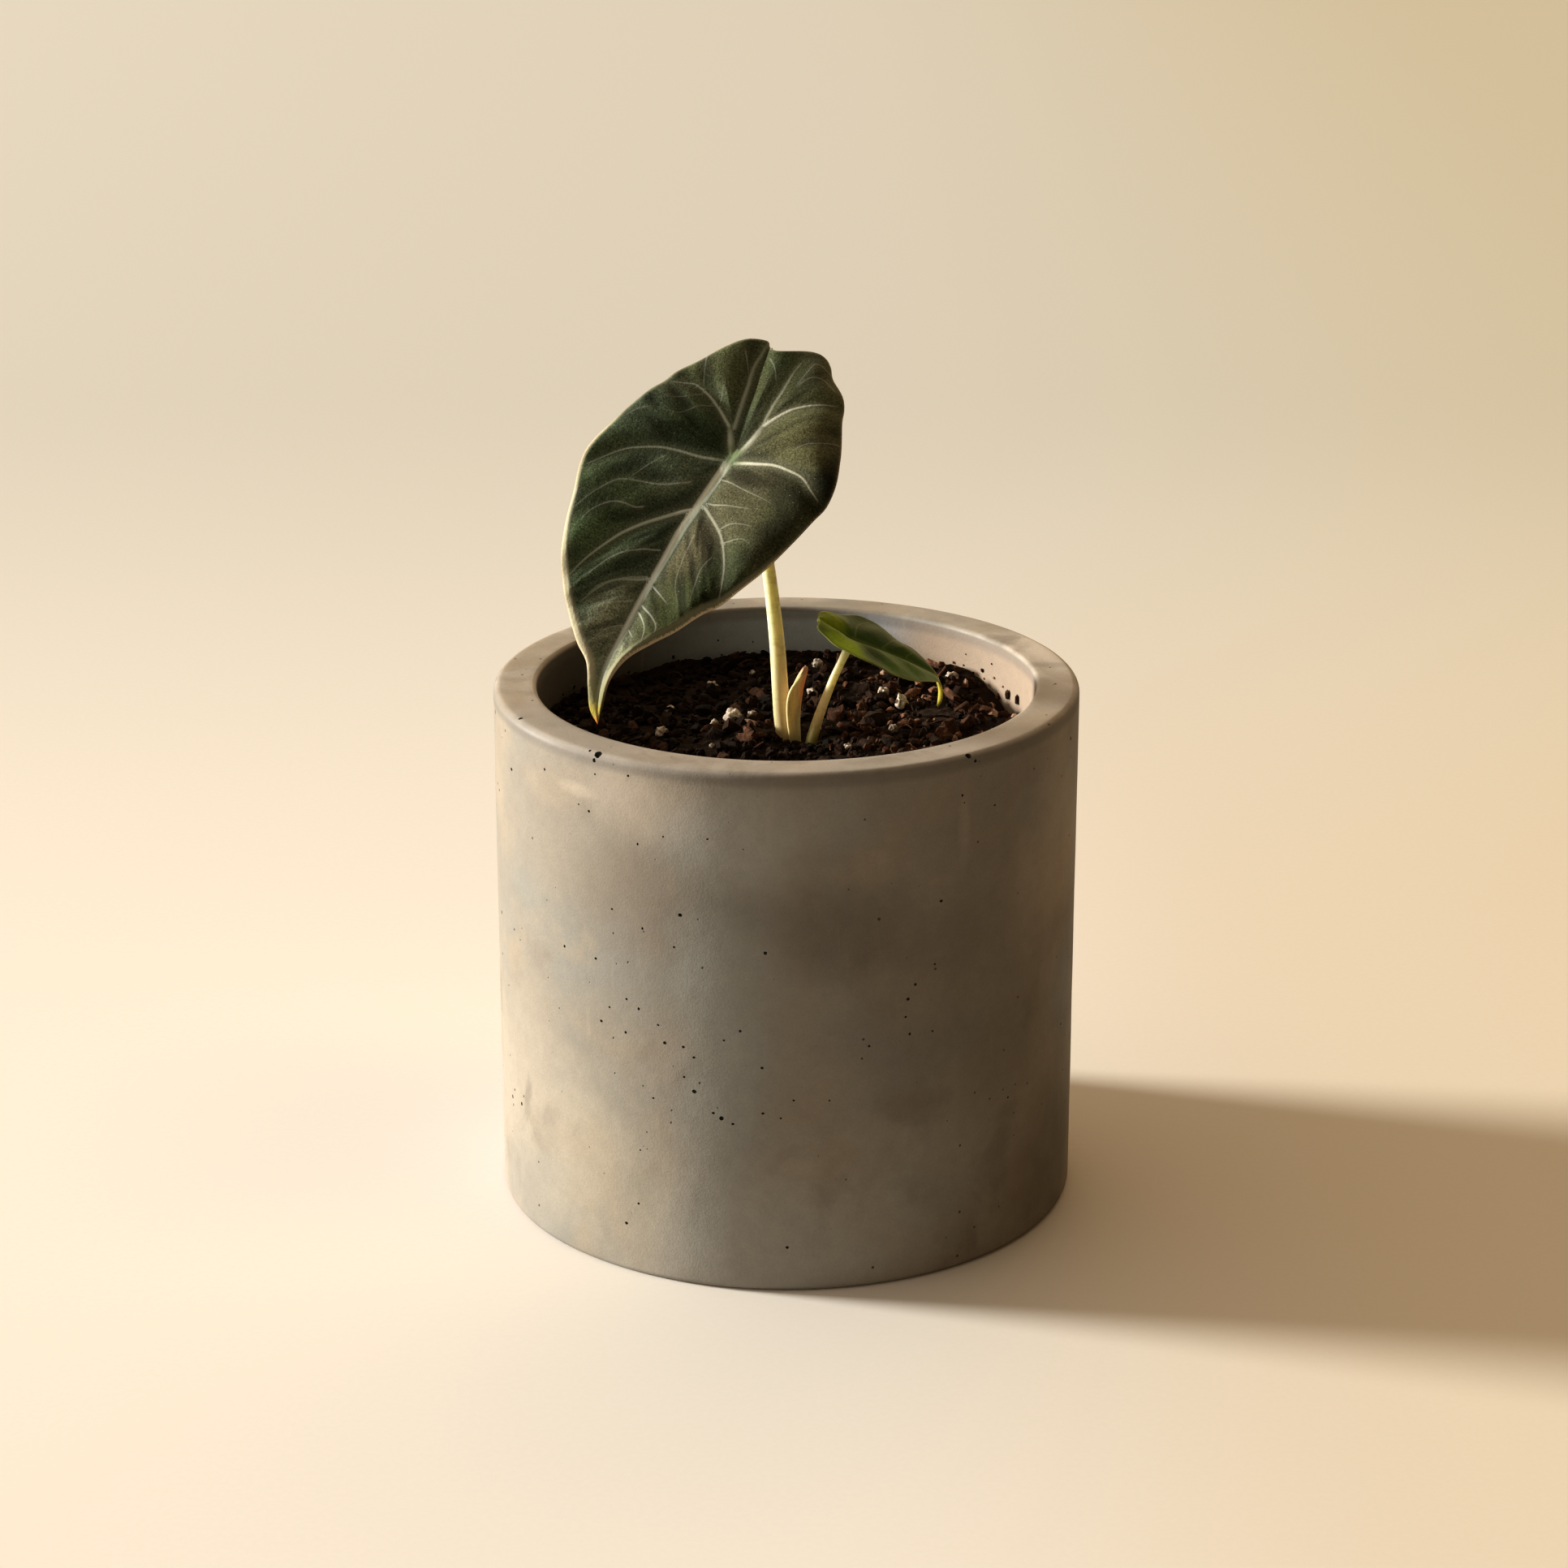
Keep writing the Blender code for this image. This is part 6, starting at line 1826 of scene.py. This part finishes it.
def blade_frame(blade):
    """Directions across, along and up out of the blade's upper face."""
    heading = math.radians(blade["heading"])
    droop = math.radians(blade["droop"])
    along = Vector(
        (math.cos(heading) * math.cos(droop), math.sin(heading) * math.cos(droop), -math.sin(droop))
    )
    # Seen from above the face with the tip pointing away, across is to the left hand.
    level = Vector((-math.sin(heading), math.cos(heading), 0))
    up = along.cross(level).normalized()
    roll = Matrix.Rotation(math.radians(blade["roll"]), 3, along)
    return roll @ level, along, roll @ up


def line_field(flat, line):
    """For each flat point: its distance to a line, on which side it is, and how far along."""
    nearest = np.full(len(flat), np.inf)
    side = np.ones(len(flat))
    share = np.zeros(len(flat))
    steps = len(line) - 1
    for number, (a, b) in enumerate(zip(line, line[1:])):
        way = b - a
        length = way @ way
        from_a = flat - a
        t = np.clip(from_a @ way / length, 0, 1)
        rest = from_a - t[:, None] * way
        away = np.hypot(rest[:, 0], rest[:, 1])
        closer = away < nearest
        nearest[closer] = away[closer]
        side[closer] = np.sign(way[0] * from_a[closer, 1] - way[1] * from_a[closer, 0])
        share[closer] = (number + t[closer]) / steps
    return nearest, np.where(side == 0, 1, side), share


def vein_fields(blade, flat):
    """What the blade keeps of its nearest vein: the signed distance in half widths, the distance
    beyond the vein's edge, and how pale the vein is. Also the relief of all veins."""
    line_value = np.full(len(flat), FAR_FROM_VEINS)
    edge = line_value.copy()
    pale = np.zeros(len(flat))
    rise = np.zeros(len(flat))
    for half_foot, half_end, paleness, points in blade["veins"]:
        line = smooth_curve(points, max(12, 4 * len(points)))
        away, side, share = line_field(flat, line)
        half = half_foot + (half_end - half_foot) * share
        fade = paleness * (1 - VEIN_FADING * share**2)
        closer = away - half < edge
        edge[closer] = (away - half)[closer]
        line_value[closer] = np.clip(side * away / half, -FAR_FROM_VEINS, FAR_FROM_VEINS)[closer]
        pale[closer] = fade[closer]
        reach = np.maximum(half * VEIN_REACH, LEAST_VEIN_REACH)
        relief_here = np.minimum(half / FULL_VEIN_HALF, 1) * fade * np.exp(-((away / reach) ** 2))
        rise = np.maximum(rise, relief_here)
    return line_value, edge, pale, rise


def side_ridges(blade, flat):
    """Soft ridges of the tissue, which run beside the side veins: their height, and two numbers
    that count across them and along them."""
    spacing = blade["ridges"][0]
    midline = smooth_curve(blade["midline"], CURVE_STEPS)
    from_midline = flat[:, 0] - np.interp(flat[:, 1], midline[:, 1], midline[:, 0])
    out, along = np.abs(from_midline), flat[:, 1]
    # Where on the midrib the ridge through each point starts. The hub's ridges fan out behind it.
    foot = along
    for _ in range(FOOT_SEARCH_STEPS):
        slope = RIDGE_SLOPE + STEEPER_RIDGES * ease(*STEEPER_SPAN, foot)
        slope = slope - FLATTER_RIDGES * ease(*FLATTER_SPAN, foot)
        foot = (1 - FOOT_SEARCH_SHARE) * foot + FOOT_SEARCH_SHARE * (along - out * slope)
    fan = RIDGE_FAN * (np.arctan2(along, out + 0.01) - math.atan(RIDGE_SLOPE))
    phase = np.where(foot > 0, foot, np.minimum(fan, 0))
    stretch = np.hypot(out, along - foot)
    stretch = np.where(from_midline > 0, stretch + RIDGE_SIDES_APART, stretch)
    ridges = []
    for count, run in zip(phase / spacing, stretch / spacing):
        coarse = Vector((count, run / RIDGE_LENGTH, 3.7))
        fine = Vector((count * FINE_RIDGES, run / FINE_RIDGE_LENGTH, 8.1))
        ridges.append(noise.noise(coarse) + FINE_RIDGE_RISE * noise.noise(fine))
    return np.array(ridges), phase, stretch


def blade_surface(blade):
    """The blade's upper face on a fine grid: its flat plan, its height and what its looks need."""
    rows, columns = blade["rows"], blade["columns"]
    midline = smooth_curve(blade["midline"], rows)[:, None]
    left = smooth_curve(blade["left"], rows)[:, None]
    right = smooth_curve(blade["right"], rows)[:, None]
    # Columns lie closer together towards the margins.
    t = np.linspace(-1, 1, 2 * columns + 1)[None, :, None]
    t = np.sin(t * math.pi / 2) * MARGIN_CROWDING + t * (1 - MARGIN_CROWDING)
    flat = midline + np.where(t < 0, (left - midline) * -t, (right - midline) * t)
    t = np.broadcast_to(t[..., 0], flat.shape[:2])
    out = np.abs(t)
    along = flat[..., 1]
    spot = flat.reshape(-1, 2)

    fade_in, fade_out = blade["body_fade"]
    body = np.clip((along - blade["body_from"]) / fade_in, 0, 1) ** BODY_POWERS[0]
    body = body * np.clip((blade["body_to"] - along) / fade_out, 0, 1) ** BODY_POWERS[1]
    lift, fold, bulge, fall, power = (
        np.where(t < 0, a, b) for a, b in zip(blade["left_half"], blade["right_half"])
    )
    share, back, front = blade["back_fold"]
    lift = lift * (share + (1 - share) * ease(back, front, along))
    bulge = bulge * np.sin(math.pi * out**BULGE_POWER)
    height = body * (lift * out**fold + bulge - fall * out**power)
    wave, waves = blade["wave"]
    turns = FULL_TURN * waves * np.linspace(0, 1, rows)[:, None]
    height += body * wave * np.sin(turns + (t > 0)) * out**4
    quilt, reach = blade["quilt"]
    valleys = np.full(len(spot), np.inf)
    for valley in blade["valleys"]:
        valleys = np.minimum(valleys, line_field(spot, smooth_curve(valley, CURVE_STEPS))[0])
    height += body * quilt * (1 - np.exp(-((valleys.reshape(out.shape) / reach) ** 2)))
    height -= np.where(along < 0, blade["back_arch"], blade["front_arch"]) * along**2

    line_value, edge, pale, vein_rise = vein_fields(blade, spot)
    ridges, phase, stretch = side_ridges(blade, spot)
    away_from_veins = 1 - np.exp(-((valleys / VALLEY_REACH) ** 2))
    crest = (ridges * away_from_veins).reshape(out.shape)
    height += body * blade["ridges"][1] * crest * ease(*RIDGE_END_SPAN, out)
    height += np.clip(body * VEIN_BODY, 0, 1) * blade["vein_rise"] * vein_rise.reshape(out.shape)
    outline = np.vstack([left[:, 0], right[::-1, 0]])
    rim = line_field(spot, outline)[0].reshape(out.shape)
    roll_reach, roll_depth = blade["rolled"]
    height -= roll_depth * np.clip(1 - rim / roll_reach, 0, 1) ** 2

    curl = np.clip(along - blade["curl_from"], 0, None) / blade["curl_radius"]
    reach_along = np.minimum(along, blade["curl_from"]) + blade["curl_radius"] * np.sin(curl)
    height -= blade["curl_radius"] * (1 - np.cos(curl))
    across_way, along_way, up_way = (np.array(way) for way in blade_frame(blade))
    face = np.array(blade["hub"]) + flat[..., :1] * across_way
    face = face + reach_along[..., None] * along_way + height[..., None] * up_way

    from_midline = np.linalg.norm(flat - midline, axis=-1)
    rib, rib_reach = blade["under_rib"]
    below_hub = np.clip((along + RIB_START) / RIB_START, 0, 1)
    below_hub = below_hub * np.clip(RIB_END_SHARE - along / along.max(), 0, 1)
    thickness = blade["thickness"] + rib * below_hub * np.exp(-((from_midline / rib_reach) ** 2))
    thickness += UNDER_VEIN_SHARE * blade["vein_rise"] * vein_rise.reshape(out.shape)
    # The edge is round: the thickness goes to nothing at the margin.
    thickness *= np.sqrt(np.clip(1 - (1 - np.clip(rim / EDGE_ROUND, 0, 1)) ** 2, 0, 1))
    looks = {"vein": line_value, "vein_edge": edge, "pale": pale, "rim": rim.ravel()}
    looks.update(crest=crest.ravel(), ridge_count=phase, ridge_run=stretch)
    return face, flat, thickness, looks


def sheet_normals(face, up_way):
    """Normals of a grid of points, on the side that up_way points to."""
    normal = np.cross(np.gradient(face, axis=1), np.gradient(face, axis=0))
    middle = face.shape[1] // 2
    normal[[0, -1]] = normal[[1, -2]]
    normal[0, :] = normal[0, middle]
    normal[-1, :] = normal[-1, middle]
    normal /= np.linalg.norm(normal, axis=-1, keepdims=True)
    return -normal if (normal @ up_way).mean() < 0 else normal


def make_blade(name, blade, slot, material, node):
    """A closed thin blade. Its upper and lower faces share the points of its margin."""
    face, flat, thickness, looks = blade_surface(blade)
    normal = sheet_normals(face, np.array(blade_frame(blade)[2]))
    under = face - normal * thickness[..., None]
    rows, columns = face.shape[:2]
    middle = columns // 2

    # The first and the last row are single points, and the margins belong to both faces.
    upper_index = np.arange(rows * columns).reshape(rows, columns)
    upper_index[0, :] = upper_index[0, middle]
    upper_index[-1, :] = upper_index[-1, middle]
    lower_index = upper_index + rows * columns
    lower_index[:, [0, -1]] = upper_index[:, [0, -1]]
    lower_index[[0, -1]] = upper_index[[0, -1]]
    places = np.vstack([face.reshape(-1, 3), under.reshape(-1, 3)]) * MM
    plan = np.vstack([flat.reshape(-1, 2)] * 2)
    looks = {key: np.tile(values, 2) for key, values in looks.items()}
    looks["under"] = np.repeat([0.0, 1.0], rows * columns)

    faces = []
    for index, turned in ((upper_index, False), (lower_index, True)):
        a, b = index[:-1, :-1].ravel(), index[:-1, 1:].ravel()
        c, d = index[1:, 1:].ravel(), index[1:, :-1].ravel()
        for corners in np.column_stack([a, b, c, d]).tolist():
            ring = [k for n, k in enumerate(corners) if k != corners[n - 1]]
            if len(ring) > 2:
                faces.append(ring[::-1] if turned else ring)
    used = np.unique(np.concatenate([np.array(ring) for ring in faces]))
    renumber = np.full(len(places), -1)
    renumber[used] = np.arange(len(used))
    faces = [[int(renumber[k]) for k in ring] for ring in faces]
    obj = piece_from(name, places[used].tolist(), faces)
    mesh = obj.data
    for key, values in looks.items():
        store(mesh, key, values[used])
    loops = np.empty(len(mesh.loops), int)
    mesh.loops.foreach_get("vertex_index", loops)
    layer = mesh.uv_layers.new(name="flat_plan")
    layer.data.foreach_set("uv", (plan[used][loops] / FLAT_SPAN + 0.5).ravel())
    face_outwards(obj)
    smooth(obj, 75)
    finish_piece(obj, slot, material, node)


def main():
    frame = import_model()
    for make_group in (make_soft_spot, make_blotches, make_fine_grain, make_pores, make_vein_lines):
        make_group()
    make_camera()
    make_stage()

    pot, inner = make_pot()
    mix = soil_material()
    make_soil_bed(mix, inner)
    crumb_models = make_loose_mix(mix, inner)
    make_wall_specks(mix, pot, crumb_models, inner)
    make_perlite(perlite_material(), crumb_models)
    for model in crumb_models:
        bpy.data.objects.remove(model)

    for size, stem in (("large", LARGE_STEM), ("small", SMALL_STEM)):
        flesh = stem_material(f"{size}_stem_flesh", stem)
        make_stem(f"{size}_petiole", stem, flesh, f"{size}_leaf_stem")
    make_sheath(sheath_material())
    make_blade("velvet_blade", LARGE_BLADE, "large_blade", large_blade_material(), "large_leaf_blade")
    make_blade("young_blade", SMALL_BLADE, "small_blade", small_blade_material(), "small_leaf_blade")
    rootstock = frame["nodes"]["rootstock"]
    rootstock.data.materials.clear()
    rootstock.data.materials.append(rootstock_material())


main()
